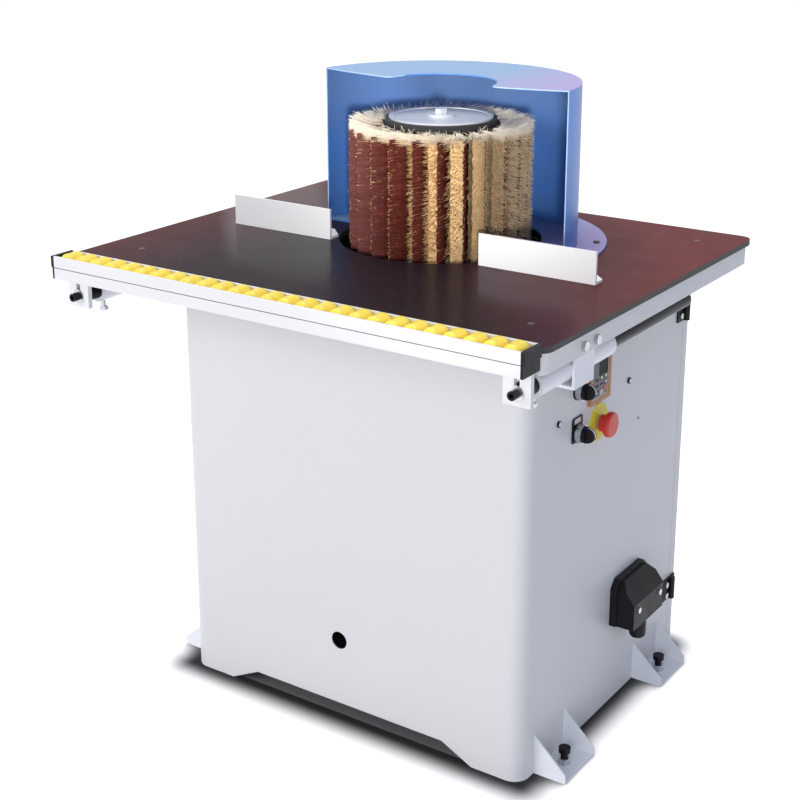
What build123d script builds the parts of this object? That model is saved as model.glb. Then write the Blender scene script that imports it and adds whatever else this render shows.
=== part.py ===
from build123d import *
import math
import os

# Brush sanding machine: an upright flap brush under a hood, on a table over a cabinet, with a roller rail.
# Millimetres. +X is the control side, +Y the back, +Z up.
# The origin is on the floor, under the middle of the whole outline.

# Table top and its frame
table_width = 850.0
table_depth = 700.0
table_height = 755.0
top_thickness = 9.0
table_corner = 22.0
apron_height = 32.0
apron_inset = 6.0
apron_sheet = 2.5
frame_bar = 10.0
screw_bar_inset = 70.0

# Cabinet
cabinet_width = 656.0
cabinet_depth = 518.0
cabinet_setback = 137.0
cabinet_sheet = 2.0
cabinet_corner = 27.0
cabinet_flange = 30.0
door_frame = 20.0
door_sill = 40.0
kick_width = 480.0
kick_rise = 27.0
kick_slope = 55.0
front_hole_radius = 15.0
front_hole_height = 141.0
front_hole_offset = -12.0

# Foot brackets and levelling screws
bracket_reach = 55.0
bracket_width = 96.0
bracket_height = 65.0
bracket_lip = 14.0
bracket_sheet = 3.0
bracket_spread = 340.0
level_screw_radius = 6.0
level_screw_length = 22.0
level_head_radius = 9.5
level_head_height = 8.0
level_nut_across = 19.0
level_nut_height = 10.0

# Brush
brush_setback = 412.0
brush_radius = 150.0
brush_length = 200.0
brush_sink = 10.0
core_radius = 95.0
strip_count = 24
strip_start = 6.3
strip_root_depth = 14.0
strip_backing = 6.0
strand_count = 16
strand_height = 9.0
strand_width = 16.0
strand_tip_share = 0.7
strand_lean = 25.0
flap_thickness = 1.2
flap_straight = 6.0
flap_bend = 38.0
ring_radius = 90.0
ring_height = 9.0
disc_radius = 84.0
disc_thickness = 3.0
disc_rim = 7.0
disc_dish = 1.5
clamp_washer_radius = 22.0
clamp_washer_height = 4.0
clamp_bolt_radius = 6.0
clamp_bolt_depth = 40.0
clamp_bolt_across = 18.0
clamp_bolt_head = 8.0

# Hood
hole_radius = 165.0
hood_chord = 458.0
hood_sweep = 215.0
hood_height = 260.0
hood_sheet = 2.0
hood_base_radius = 270.0
hood_base_sheet = 3.0
hood_roof_bow = 34.0
hood_notch_radius = 92.0
hood_notch_side = 14.0
hood_notch_front = 31.0
hood_notch_round = 12.0
hood_screw_circle = 254.0
hood_screw_angles = (24.0, 66.0, 114.0, 156.0)

# Fences
fence_setback = 300.0
fence_length = 200.0
fence_height = 50.0
fence_foot = 50.0
fence_sheet = 4.0
fence_gap = 282.0
fence_cut = 28.0
fence_screw_inset = 45.0

# Drive
shelf_height = 400.0
shelf_thickness = 8.0
shelf_ledge = 25.0
shelf_back_room = 12.0
spindle_radius = 17.5
spindle_flange = 92.0
spindle_flange_height = 12.0
bearing_radius = 36.0
bearing_height = 17.0
housing_wall = 10.0
housing_flange = 80.0
housing_flange_height = 12.0
housing_bolt_circle = 66.0
housing_top_gap = 8.0
motor_offset = 195.0
motor_radius = 80.0
motor_length = 250.0
motor_flange = 110.0
motor_bolt_circle = 99.0
motor_flange_height = 12.0
motor_fin = 9.0
motor_fin_count = 24
motor_fan_cover = 45.0
motor_shaft_radius = 12.0
motor_shaft_depth = 70.0
spindle_pulley_radius = 75.0
motor_pulley_radius = 50.0
pulley_height = 30.0
pulley_lip = 5.0
pulley_lip_height = 3.0
pulley_drop = 12.0
belt_thickness = 4.0

# Roller rail
rail_gap = 2.0
rail_depth = 44.0
rail_height = 36.0
rail_rise = 7.0
rail_wall = 3.5
rail_floor = 4.0
rail_groove = 1.2
rail_end_inset = 4.0
cap_thickness = 4.0
cap_step = 2.0
wheel_count = 27
wheel_row_margin = 4.0
wheel_space = 1.0
wheel_show = 4.0
wheel_side_gap = 1.2
wheel_round = 7.0
axle_radius = 3.0
axle_bearing_depth = 2.0

# Rods, guide tubes and end plates
rod_radius = 12.5
rod_length = 509.0
rod_drop = 60.0
tube_wall = 6.0
tube_length = 210.0
tube_setback = 20.0
tube_weld = 0.5
tube_bracket_sheet = 4.0
tube_bracket_width = 80.0
tube_leg_width = 56.0
tube_bracket_setback = 99.0
tube_bracket_drop = 87.0
tube_bracket_foot = 34.0
apron_bolt_setback = 116.0
apron_bolt_spacing = 36.0
apron_bolt_drop = 28.0
lock_bolt_inset = 10.0
lock_bolt_show = 9.0
lock_bolt_tilt = 8.0
plate_width = 42.0
plate_thickness = 8.0
plate_setback = 28.0
plate_below_rod = 18.0
slot_fall = 8.0
slot_rise = 20.0
rod_screw_radius = 4.0
rod_screw_depth = 25.0
rod_screw_head = 6.5
rod_screw_head_height = 12.0
rod_washer_radius = 11.0
rod_washer_height = 2.0

# Back door, hinges and latch
door_depth = 20.0
door_sheet = 2.0
door_gap = 1.0
door_margin = 10.0
hinge_height = 40.0
hinge_leaf = 21.0
hinge_sheet = 3.0
hinge_knuckle = 5.5
hinge_pin = 2.5
upper_hinge_drop = 145.0
lower_hinge_height = 95.0
latch_inset = 32.0
latch_height = 360.0
latch_radius = 6.0
latch_head_radius = 13.0
latch_head_height = 6.0
latch_cam_length = 34.0
latch_cam_sheet = 3.0

# Controls on the right wall: places are back from the table's front edge and down from the table top
keypad_width = 67.0
keypad_height = 96.0
keypad_setback = 348.0
keypad_drop = 149.0
keypad_bezel = 7.0
keypad_rise = 5.0
keypad_recess = 1.5
inverter_depth = 90.0
inverter_border = 4.0
selector_setback = 282.0
upper_selector_drop = 159.0
lower_selector_drop = 227.0
selector_bezel_radius = 14.5
selector_bezel_height = 12.0
selector_bush_radius = 11.0
selector_bush_depth = 20.0
knob_radius = 13.0
knob_base_height = 4.0
knob_edge = 1.0
knob_grip_width = 10.0
knob_grip_height = 14.0
knob_grip_round = 1.5
knob_stem_radius = 5.0
legend_width = 32.0
legend_above = 26.0
legend_sheet = 1.5
stop_setback = 352.0
stop_drop = 232.0
stop_plate_radius = 30.0
stop_collar_radius = 11.8
stop_collar_height = 12.0
stop_head_radius = 20.0
stop_head_height = 11.0
stop_skirt_wall = 1.5
stop_skirt_height = 9.0
stop_travel = 5.0
stop_stem_radius = 6.0

# Inlet box on the right wall
inlet_setback = 479.0
inlet_drop = 611.0
inlet_width = 116.0
inlet_height = 80.0
inlet_base_depth = 12.0
inlet_depth = 43.0
inlet_face_height = 44.0
inlet_round = 14.0
inlet_screw_spread = 78.0
inlet_screw_height = 32.0
gland_radius = 14.0
gland_length = 38.0
gland_bore = 6.0
gland_bore_depth = 32.0
gland_reach = 25.0

# Small fasteners and fits
small_screw_radius = 2.5
small_head_radius = 5.0
small_head_height = 3.0
small_screw_grip = 1.5
bolt_radius = 4.0
bolt_head_across = 13.0
bolt_head_height = 6.0
side_screw_setbacks = (224.0, 455.0)
side_screw_drop = 195.0
seat_gap = 0.1
running_gap = 0.08
moving_gap = 0.3
past = 1.0

# Places worked out from the sizes above
outline_depth = table_depth + rail_gap + rail_depth
rail_front = -outline_depth / 2
table_front = rail_front + rail_depth + rail_gap
table_back = table_front + table_depth
table_middle = (table_front + table_back) / 2
frame_top = table_height - top_thickness
cabinet_top = frame_top - apron_height
cabinet_side = cabinet_width / 2
cabinet_front = table_front + cabinet_setback
cabinet_back = cabinet_front + cabinet_depth
apron_face = table_width / 2 - apron_inset
brush_y = table_front + brush_setback
brush_bottom = table_height - brush_sink
brush_top = brush_bottom + brush_length
shelf_top = shelf_height + shelf_thickness
shelf_back = cabinet_back - cabinet_sheet - shelf_back_room
spindle_top = brush_top + ring_height - moving_gap
disc_bottom = brush_top + ring_height
disc_seat = disc_bottom + disc_thickness - disc_dish
spindle_flange_bottom = brush_bottom - spindle_flange_height
housing_top = spindle_flange_bottom - housing_top_gap
pulley_top = shelf_height - pulley_drop
pulley_bottom = pulley_top - pulley_height
motor_x = -motor_offset
motor_body_bottom = shelf_top + motor_flange_height
motor_body_top = shelf_top + motor_length - motor_fan_cover
rail_back = rail_front + rail_depth
rail_middle = (rail_front + rail_back) / 2
rail_top = table_height + rail_rise
rail_bottom = rail_top - rail_height
rail_groove_z = (rail_top + rail_bottom) / 2
rail_half = table_width / 2 - rail_end_inset - cap_thickness - cap_step
wheel_pitch = 2 * (rail_half - wheel_row_margin) / wheel_count
wheel_radius = (wheel_pitch - wheel_space) / 2
wheel_z = rail_top + wheel_show - wheel_radius
tube_radius = rod_radius + running_gap + tube_wall
bracket_face = apron_face - apron_sheet
rod_x = bracket_face - tube_bracket_sheet - tube_radius + tube_weld
rod_z = table_height - rod_drop
tube_front = table_front + tube_setback
plate_front = rail_front + plate_setback
plate_back = plate_front + plate_thickness
hood_top = table_height + hood_height
level_x = cabinet_side + bracket_reach / 2
level_places = [(level_x, -bracket_spread / 2), (level_x, bracket_spread / 2)]
cabinet_middle = (cabinet_front + cabinet_back) / 2
fence_face = table_front + fence_setback
table_screw_x = table_width / 2 - screw_bar_inset
table_screw_ys = (table_front + screw_bar_inset + apron_height / 2, table_back - screw_bar_inset)
hinge_heights = (lower_hinge_height, table_height - upper_hinge_drop)
hinge_x = cabinet_side + hinge_knuckle + moving_gap
hinge_y = cabinet_back + door_gap / 2
door_bottom = door_margin
door_top = cabinet_top - door_margin
door_back = cabinet_back + door_depth
latch_x = -cabinet_side + latch_inset
inlet_y = table_front + inlet_setback
inlet_bottom = table_height - inlet_drop
stop_place = (table_front + stop_setback, table_height - stop_drop)
upper_place = (table_front + selector_setback, table_height - upper_selector_drop)
lower_place = (table_front + selector_setback, table_height - lower_selector_drop)
keypad_place = (table_front + keypad_setback, table_height - keypad_drop)


# Plain shapes used by every piece

def block(x0, x1, y0, y1, z0, z1):
    """A box between two opposite corners."""
    return Pos((x0 + x1) / 2, (y0 + y1) / 2, (z0 + z1) / 2) * Box(x1 - x0, y1 - y0, z1 - z0)


def round_x(x0, x1, y, z, radius):
    """A round bar along X."""
    return Pos((x0 + x1) / 2, y, z) * Rot(0, 90, 0) * Cylinder(radius, x1 - x0)


def round_y(x, y0, y1, z, radius):
    """A round bar along Y."""
    return Pos(x, (y0 + y1) / 2, z) * Rot(90, 0, 0) * Cylinder(radius, y1 - y0)


def round_z(x, y, z0, z1, radius):
    """An upright round bar."""
    return Pos(x, y, (z0 + z1) / 2) * Cylinder(radius, z1 - z0)


def hexagon(plane, across, height):
    """A six-sided prism standing on a plane."""
    return extrude(plane * RegularPolygon(across / 2, 6, major_radius=False), height)


def upright(x, y, z):
    """A plane that looks up."""
    return Plane((x, y, z))


def wall_plane(y, z, x=None):
    """A plane that looks out of the right wall, with its own x to the back and its own y up."""
    return Plane((cabinet_side if x is None else x, y, z), x_dir=(0, 1, 0), z_dir=(1, 0, 0))


def across_y(outline, y0, y1):
    """Carries an outline drawn in X and Z from y0 to y1."""
    return extrude(Plane.XZ.offset(-y1) * outline, y1 - y0)


def along_x(outline, x0, x1):
    """Carries an outline drawn in Y and Z from x0 to x1."""
    return extrude(Plane.YZ.offset(x0) * outline, x1 - x0)


def closed(*points):
    """A flat face inside straight sides."""
    return make_face(Polyline(*points, close=True))


def both_sides(pieces):
    """The pieces and their mirror images on the left."""
    return pieces + [mirror(piece, about=Plane.YZ) for piece in pieces]


def screw(plane, radius, length, head_radius, head_height):
    """A pan-head screw whose head rests on a plane and whose shank goes back through it."""
    shank = extrude(plane * Circle(radius), -length)
    head = extrude(plane * Circle(head_radius), head_height)
    return shank + head


def bolt(plane, radius, length, across, head_height):
    """A hexagon bolt whose head rests on a plane and whose shank goes back through it."""
    return extrude(plane * Circle(radius), -length) + hexagon(plane, across, head_height)


def hole(plane, radius, length):
    """The clear hole for such a shank."""
    bore = Circle(radius + seat_gap)
    return extrude(plane * bore, -length - seat_gap) + extrude(plane * bore, past)


# Planes that fasteners and their holes share

def table_screw_planes():
    """Flush screws that hold the table top to its frame."""
    return [upright(x, y, table_height) for x in (-table_screw_x, table_screw_x) for y in table_screw_ys]


def fence_screw_planes():
    """Two screws through the foot of each fence."""
    start = fence_gap / 2 + fence_screw_inset
    end = fence_gap / 2 + fence_length - fence_screw_inset
    y = fence_face + fence_foot / 2
    return [upright(x, y, table_height + fence_sheet) for x in (-end, -start, start, end)]


def hood_screw_planes():
    """Screws round the rim of the hood's base plate."""
    turns = [math.radians(angle) for angle in hood_screw_angles]
    z = table_height + hood_base_sheet
    spots = [(hood_screw_circle * math.cos(t), hood_screw_circle * math.sin(t)) for t in turns]
    return [upright(x, brush_y + y, z) for x, y in spots]


def apron_bolt_planes():
    """Two bolts through the right apron into the guide tube's bracket."""
    first = table_front + apron_bolt_setback
    z = table_height - apron_bolt_drop
    return [wall_plane(y, z, apron_face) for y in (first, first + apron_bolt_spacing)]


def lock_bolt_plane():
    """The bolt that comes up at a slant through the front of the right guide tube to hold the rod."""
    lean = math.radians(lock_bolt_tilt)
    out = tube_radius + lock_bolt_show
    x = rod_x - out * math.sin(lean)
    z = rod_z - out * math.cos(lean)
    outward = (-math.sin(lean), 0, -math.cos(lean))
    return Plane((x, tube_front + lock_bolt_inset, z), x_dir=(0, 1, 0), z_dir=outward)


def inlet_screw_planes():
    """Two screws in the face of the inlet box."""
    z = inlet_bottom + inlet_screw_height
    ys = (inlet_y - inlet_screw_spread / 2, inlet_y + inlet_screw_spread / 2)
    return [wall_plane(y, z, cabinet_side + inlet_depth) for y in ys]


def hinge_screw_planes():
    """Two screws in the fixed leaf of each hinge."""
    y = cabinet_back - hinge_leaf / 2 - hinge_knuckle
    quarter = hinge_height / 4
    heights = [z + shift for z in hinge_heights for shift in (quarter, 3 * quarter)]
    return [wall_plane(y, z, cabinet_side + hinge_sheet) for z in heights]


def ring_of_planes(x, radius, z):
    """Four planes that look up, on a circle round an upright axis."""
    turns = [math.radians(angle) for angle in (45, 135, 225, 315)]
    return [upright(x + radius * math.cos(t), brush_y + radius * math.sin(t), z) for t in turns]


def housing_bolt_planes():
    """Bolts through the spindle housing's flange and the shelf."""
    return ring_of_planes(0, housing_bolt_circle, shelf_top + housing_flange_height)


def motor_bolt_planes():
    """Bolts through the motor's flange and the shelf."""
    return ring_of_planes(motor_x, motor_bolt_circle, shelf_top + motor_flange_height)


def shelf_bolt_planes():
    """Bolts through the shelf and the cabinet's ledges."""
    x = cabinet_side - cabinet_sheet - shelf_ledge / 2
    ys = (cabinet_middle - bracket_spread / 2, cabinet_middle + bracket_spread / 2)
    return [upright(side, y, shelf_top) for side in (-x, x) for y in ys]


def side_screw_planes():
    """Two screws in the right wall beside the controls."""
    z = table_height - side_screw_drop
    return [wall_plane(table_front + setback, z) for setback in side_screw_setbacks]


# Cabinet and feet

def cabinet_plan(inset, back):
    """The cabinet's outline from above, rounded at its two front corners."""
    front = cabinet_front + inset
    outline = Pos(0, (front + back) / 2) * Rectangle(2 * (cabinet_side - inset), back - front)
    corners = outline.vertices().group_by(Axis.Y)[0]
    return fillet(corners, cabinet_corner - inset)


def cabinet_walls():
    """The front sheet, two rolled corners and two side sheets, welded edge to edge."""
    inner_side = cabinet_side - cabinet_sheet
    plan = cabinet_plan(0, cabinet_back) - cabinet_plan(cabinet_sheet, cabinet_back + past)
    walls = extrude(plan, cabinet_top)
    low = kick_width / 2
    high = low - kick_slope
    kick = closed((-low, -past), (low, -past), (low, 0), (high, kick_rise), (-high, kick_rise), (-low, 0))
    walls -= across_y(kick, cabinet_front - past, cabinet_front + cabinet_corner - cabinet_sheet)
    walls -= round_y(front_hole_offset, cabinet_front - past, cabinet_front + cabinet_corner,
                     front_hole_height, front_hole_radius)
    bush = selector_bush_radius + seat_gap
    for y, z in (upper_place, lower_place, stop_place):
        walls -= round_x(inner_side - past, cabinet_side + past, y, z, bush)
    y, z = keypad_place
    half_width = keypad_width / 2 - inverter_border + seat_gap
    half_height = keypad_height / 2 - inverter_border + seat_gap
    walls -= block(inner_side - past, cabinet_side + past, y - half_width, y + half_width,
                   z - half_height, z + half_height)
    for plane in side_screw_planes() + hinge_screw_planes():
        walls -= hole(plane, small_screw_radius, hinge_sheet + cabinet_sheet + past)
    flat = cabinet_side - cabinet_corner
    bend = cabinet_front + cabinet_corner
    front_sheet = walls & block(-flat, flat, cabinet_front, bend, 0, cabinet_top)
    corner = walls & block(flat, cabinet_side, cabinet_front, bend, 0, cabinet_top)
    right_sheet = walls & block(inner_side, cabinet_side, bend, cabinet_back, 0, cabinet_top)
    left_sheet = walls & block(-cabinet_side, -inner_side, bend, cabinet_back, 0, cabinet_top)
    return [front_sheet, right_sheet, left_sheet] + both_sides([corner])


def top_flanges():
    """Four strips welded inside the walls' upper edge, which the table frame lies on."""
    inner_side = cabinet_side - cabinet_sheet
    bottom = cabinet_top - cabinet_sheet
    frame_front = cabinet_back - cabinet_sheet
    front = cabinet_front + cabinet_flange
    back = cabinet_back - cabinet_flange
    inside = cabinet_side - cabinet_flange
    cut_in = block(-cabinet_side, cabinet_side, cabinet_front, front, bottom, cabinet_top)
    sheet = extrude(Pos(0, 0, bottom) * cabinet_plan(cabinet_sheet, frame_front), cabinet_sheet)
    front_strip = sheet & cut_in
    back_strip = block(-inner_side, inner_side, back, frame_front, bottom, cabinet_top)
    side_strip = block(inside, inner_side, front, back, bottom, cabinet_top)
    return [front_strip, back_strip] + both_sides([side_strip])


def doorway():
    """Two posts, a sill and a lintel welded between the side walls round the back opening."""
    inner_side = cabinet_side - cabinet_sheet
    edge = cabinet_side - door_frame
    front = cabinet_back - cabinet_sheet
    post = block(edge, inner_side, front, cabinet_back, 0, cabinet_top)
    sill = block(-edge, edge, front, cabinet_back, 0, door_sill)
    lintel = Pos(0, 0, cabinet_top - door_sill) * sill
    return both_sides([post]) + [sill, lintel]


def shelf_ledges():
    """A ledge welded to each side wall, with bolt holes for the shelf."""
    inner_side = cabinet_side - cabinet_sheet
    ledge = block(inner_side - shelf_ledge, inner_side, cabinet_front + cabinet_corner, shelf_back,
                  shelf_height - cabinet_sheet, shelf_height)
    for plane in shelf_bolt_planes():
        ledge -= hole(plane, bolt_radius, shelf_thickness + cabinet_sheet + past)
    return both_sides([ledge])


def foot_bracket(y):
    """A folded bracket on the right wall: a base plate on the floor and two sloping cheeks."""
    front = cabinet_middle + y - bracket_width / 2
    back = front + bracket_width
    bracket = block(cabinet_side, cabinet_side + bracket_reach, front, back, 0, bracket_sheet)
    slope = closed((0, 0), (bracket_reach, 0), (bracket_reach, bracket_lip), (0, bracket_height))
    cheek = Pos(cabinet_side, 0) * slope
    bracket += across_y(cheek, front, front + bracket_sheet)
    bracket += across_y(cheek, back - bracket_sheet, back)
    bore = level_screw_radius + seat_gap
    return bracket - round_z(level_x, cabinet_middle + y, -past, bracket_sheet + past, bore)


def levelling_screw(x, y):
    """A black screw standing on the floor through the bracket's base plate."""
    middle = cabinet_middle + y
    head_top = level_screw_length + level_head_height
    shank = round_z(x, middle, 0, level_screw_length, level_screw_radius)
    return shank + round_z(x, middle, level_screw_length, head_top, level_head_radius)


def levelling_nut(x, y):
    """The nut on the bracket's base plate."""
    middle = cabinet_middle + y
    nut = hexagon(upright(x, middle, bracket_sheet), level_nut_across, level_nut_height)
    bore = level_screw_radius + seat_gap
    return nut - round_z(x, middle, 0, bracket_sheet + level_nut_height + past, bore)


# Table

def table_frame():
    """The painted apron with two bars that lie on the cabinet and two that take the table's screws."""
    place = Pos(0, table_middle, cabinet_top)
    outer_width = 2 * apron_face
    outer_depth = table_depth - 2 * apron_inset
    corner = table_corner - apron_inset
    outer = RectangleRounded(outer_width, outer_depth, corner)
    fold = 2 * apron_sheet
    inner = RectangleRounded(outer_width - fold, outer_depth - fold, corner - apron_sheet)
    frame = extrude(place * (outer - inner), apron_height)
    end = outer_depth / 2 - apron_sheet / 2
    half = frame_bar / 2
    front_bar = cabinet_front + cabinet_flange / 2
    back_bar = cabinet_back - cabinet_flange / 2
    for y in (front_bar, back_bar):
        frame += block(-table_screw_x, table_screw_x, y - half, y + half, cabinet_top, frame_top)
    side_start = min(table_middle - end, front_bar - half)
    side_end = max(table_middle + end, back_bar + half)
    for x in (-table_screw_x, table_screw_x):
        frame += block(x - half, x + half, side_start, side_end, cabinet_top, frame_top)
    for plane in table_screw_planes():
        frame -= hole(plane, small_screw_radius, 2 * top_thickness)
    for plane in apron_bolt_planes():
        bore = hole(plane, bolt_radius, apron_sheet + past)
        frame -= bore
        frame -= mirror(bore, about=Plane.YZ)
    return frame


def table_top():
    """The film-faced panel with the brush's hole and its screw holes."""
    panel = Pos(0, table_middle, frame_top) * RectangleRounded(table_width, table_depth, table_corner)
    top = extrude(panel, top_thickness)
    top -= round_z(0, brush_y, frame_top - past, table_height + past, hole_radius)
    for plane in table_screw_planes():
        top -= hole(plane, small_screw_radius, top_thickness + past)
        top -= extrude(plane * Circle(small_head_radius + seat_gap), -small_head_height)
    for plane in fence_screw_planes() + hood_screw_planes():
        top -= hole(plane, small_screw_radius, fence_sheet + top_thickness + past)
    return top


def table_screw(plane):
    """A screw whose head lies flush in the table top."""
    head = extrude(plane * Circle(small_head_radius), -small_head_height)
    return head + extrude(plane * Circle(small_screw_radius), -2 * top_thickness)


# Hood and fences

def hood_segment(inset):
    """The hood's plan behind the brush's axis: a straight front and one arc."""
    half = hood_chord / 2 - inset
    arc = ThreePointArc((-half, 0), (0, hood_sweep - inset), (half, 0))
    return make_face([arc.edge(), Line((half, 0), (-half, 0)).edge()])


def hood_base():
    """The base plate round the back half of the brush's hole."""
    rear = Pos(0, hood_base_radius / 2) * Rectangle(2 * hood_base_radius, hood_base_radius)
    plate = (Circle(hood_base_radius) & rear) - Circle(hole_radius)
    base = extrude(Pos(0, brush_y, table_height) * plate, hood_base_sheet)
    for plane in hood_screw_planes():
        base -= hole(plane, small_screw_radius, hood_base_sheet + past)
    return base


def hood_wall():
    """The curved wall that stands on the base plate."""
    skin = hood_segment(0) - hood_segment(hood_sheet)
    return extrude(Pos(0, brush_y, table_height + hood_base_sheet) * skin,
                   hood_height - hood_base_sheet - hood_sheet)


def hood_roof():
    """The top plate, whose front edge bows out, with a round notch over the brush's clamp."""
    half = hood_chord / 2
    back = ThreePointArc((-half, 0), (0, hood_sweep), (half, 0))
    front = ThreePointArc((half, 0), (0, -hood_roof_bow), (-half, 0))
    notch = Pos(hood_notch_side, -hood_notch_front) * Circle(hood_notch_radius)
    plate = make_face([back.edge(), front.edge()]) - notch
    inner_points = plate.vertices().filter_by(lambda v: abs(v.X) < half - past)
    plate = fillet(inner_points, hood_notch_round)
    return extrude(Pos(0, brush_y, hood_top - hood_sheet) * plate, hood_sheet)


def fence():
    """The right fence: an angle whose foot lies on the table behind its face, with two corners cut off."""
    start = fence_gap / 2
    end = start + fence_length
    fence_top = table_height + fence_height
    face = block(start, end, fence_face, fence_face + fence_sheet, table_height, fence_top)
    back = fence_face + fence_foot
    cut = back - fence_cut
    outline = closed((start, fence_face), (end, fence_face), (end, cut), (end - fence_cut, back),
                     (start + fence_cut, back), (start, cut))
    angle = face + extrude(Pos(0, 0, table_height) * outline, fence_sheet)
    for plane in fence_screw_planes():
        angle -= hole(plane, small_screw_radius, fence_sheet + past)
    return angle


# Brush

def brush_core():
    """The core on the spindle, with a slot for each strip."""
    core = round_z(0, brush_y, brush_bottom, brush_top, core_radius)
    core -= round_z(0, brush_y, brush_bottom - past, brush_top + past, spindle_radius + seat_gap)
    inner = core_radius - strip_root_depth
    half = strip_slot_width() / 2
    slot = block(inner, core_radius + past, -half, half, brush_bottom - past, brush_top + past)
    for turn in strip_turns():
        core -= Pos(0, brush_y) * Rot(0, 0, turn) * slot
    return core


def strip_slot_width():
    """Room for one bristle backing and one flap, side by side."""
    return strip_backing + flap_thickness + 3 * seat_gap


def strip_turns():
    """The angle of each strip round the brush."""
    return [strip_start + 360 * number / strip_count for number in range(strip_count)]


def sanding_flap():
    """One abrasive flap: straight in its slot, then bent back against the turn up to the brush's radius."""
    side = strip_slot_width() / 2 - seat_gap - flap_thickness / 2
    root = core_radius - strip_root_depth + seat_gap
    start = core_radius + flap_straight
    bend = math.radians(flap_bend)
    reach = math.sqrt((brush_radius - flap_thickness) ** 2 - (strand_lean / 2) ** 2) - start
    radius = reach / math.sin(bend)
    straight = Line((root, side), (start, side))
    curve = JernArc((start, side), (1, 0), radius, -flap_bend)
    sheet = trace([straight, curve], flap_thickness)
    return extrude(Pos(0, 0, brush_bottom) * sheet, brush_length)


def bristle_strand(number, middle):
    """One four-sided tuft of bristles that leans behind the flap, a little more or less than the next."""
    pitch = brush_length / strand_count
    z = brush_bottom + (number + 0.5) * pitch
    lean = strand_lean + math.sin(2.4 * number)
    root_x = core_radius - 2 * seat_gap
    tip_y = middle - lean
    tip_x = math.sqrt(brush_radius ** 2 - (tip_y - strand_width / 2) ** 2) - seat_gap
    root_plane = Plane((root_x, middle, z), x_dir=(0, 1, 0), z_dir=(1, 0, 0))
    tip_plane = Plane((tip_x, tip_y, z), x_dir=(0, 1, 0), z_dir=(1, 0, 0))
    root = root_plane * Rectangle(strip_backing, strand_height)
    tip = tip_plane * Rectangle(strand_width, strand_height * strand_tip_share)
    return loft([root, tip], ruled=True)


def bristle_strip():
    """One row of bristle tufts fused to its backing bar."""
    middle = -strip_slot_width() / 2 + seat_gap + strip_backing / 2
    inner = core_radius - strip_root_depth + seat_gap
    half = strip_backing / 2
    backing = block(inner, core_radius, middle - half, middle + half, brush_bottom, brush_top)
    strands = [bristle_strand(number, middle) for number in range(strand_count)]
    return backing.fuse(*strands)


def round_the_brush(piece):
    """A copy of a strip's piece at each slot."""
    return [Pos(0, brush_y) * Rot(0, 0, turn) * piece for turn in strip_turns()]


def rubber_ring():
    """The ring that holds the strips down."""
    bore = spindle_radius + seat_gap
    ring = round_z(0, brush_y, brush_top, brush_top + ring_height, ring_radius)
    return ring - round_z(0, brush_y, brush_top - past, brush_top + ring_height + past, bore)


def clamp_disc():
    """The dished steel disc over the ring."""
    top = disc_bottom + disc_thickness
    disc = round_z(0, brush_y, disc_bottom, top, disc_radius)
    disc -= round_z(0, brush_y, disc_seat, top + past, disc_radius - disc_rim)
    return disc - round_z(0, brush_y, disc_bottom - past, top, clamp_bolt_radius + seat_gap)


def clamp_washer():
    """The thick washer under the clamp bolt's head."""
    top = disc_seat + clamp_washer_height
    washer = round_z(0, brush_y, disc_seat, top, clamp_washer_radius)
    return washer - round_z(0, brush_y, disc_seat - past, top + past, clamp_bolt_radius + seat_gap)


def clamp_bolt_seat():
    """The plane that the clamp bolt's head rests on, and how far its shank reaches below."""
    seat = disc_seat + clamp_washer_height
    return upright(0, brush_y, seat), seat - spindle_top + clamp_bolt_depth


def clamp_bolt():
    """The bolt in the spindle's end that pulls the disc down."""
    plane, length = clamp_bolt_seat()
    return bolt(plane, clamp_bolt_radius, length, clamp_bolt_across, clamp_bolt_head)


def spindle():
    """The shaft with the flange that carries the brush and a threaded hole in its upper end."""
    shaft = round_z(0, brush_y, pulley_bottom, spindle_top, spindle_radius)
    shaft += round_z(0, brush_y, spindle_flange_bottom, brush_bottom, spindle_flange)
    plane, length = clamp_bolt_seat()
    return shaft - hole(plane, clamp_bolt_radius, length)


# Drive inside the cabinet

def pulley(x, radius, bore):
    """A flat-belt pulley with a lip at each end, on a shaft."""
    wheel = round_z(x, brush_y, pulley_bottom, pulley_top, radius)
    for z in (pulley_bottom, pulley_top - pulley_lip_height):
        wheel += round_z(x, brush_y, z, z + pulley_lip_height, radius + pulley_lip)
    return wheel - round_z(x, brush_y, pulley_bottom - past, pulley_top + past, bore + seat_gap)


def belt_loop(offset):
    """The belt's path round both pulleys, at a distance from their faces."""
    large = Pos(0, brush_y) * Circle(spindle_pulley_radius + offset)
    small = Pos(motor_x, brush_y) * Circle(motor_pulley_radius + offset)
    return make_hull(large.edges() + small.edges())


def drive_belt():
    """The flat belt between the pulleys' lips."""
    ring = belt_loop(moving_gap + belt_thickness) - belt_loop(moving_gap)
    bottom = pulley_bottom + pulley_lip_height + moving_gap
    return extrude(Pos(0, 0, bottom) * ring, pulley_height - 2 * pulley_lip_height - 2 * moving_gap)


def drive_shelf():
    """The plate on the cabinet's ledges that carries the spindle housing and the motor."""
    half = cabinet_side - cabinet_sheet - seat_gap
    shelf = block(-half, half, cabinet_front + cabinet_corner, shelf_back, shelf_height, shelf_top)
    shelf -= round_z(0, brush_y, shelf_height - past, shelf_top + past, bearing_radius)
    shelf -= round_z(motor_x, brush_y, shelf_height - past, shelf_top + past, 2 * motor_shaft_radius)
    for plane in housing_bolt_planes() + motor_bolt_planes():
        shelf -= hole(plane, bolt_radius, housing_flange_height + shelf_thickness + past)
    for plane in shelf_bolt_planes():
        shelf -= hole(plane, bolt_radius, shelf_thickness + past)
    return shelf


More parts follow.
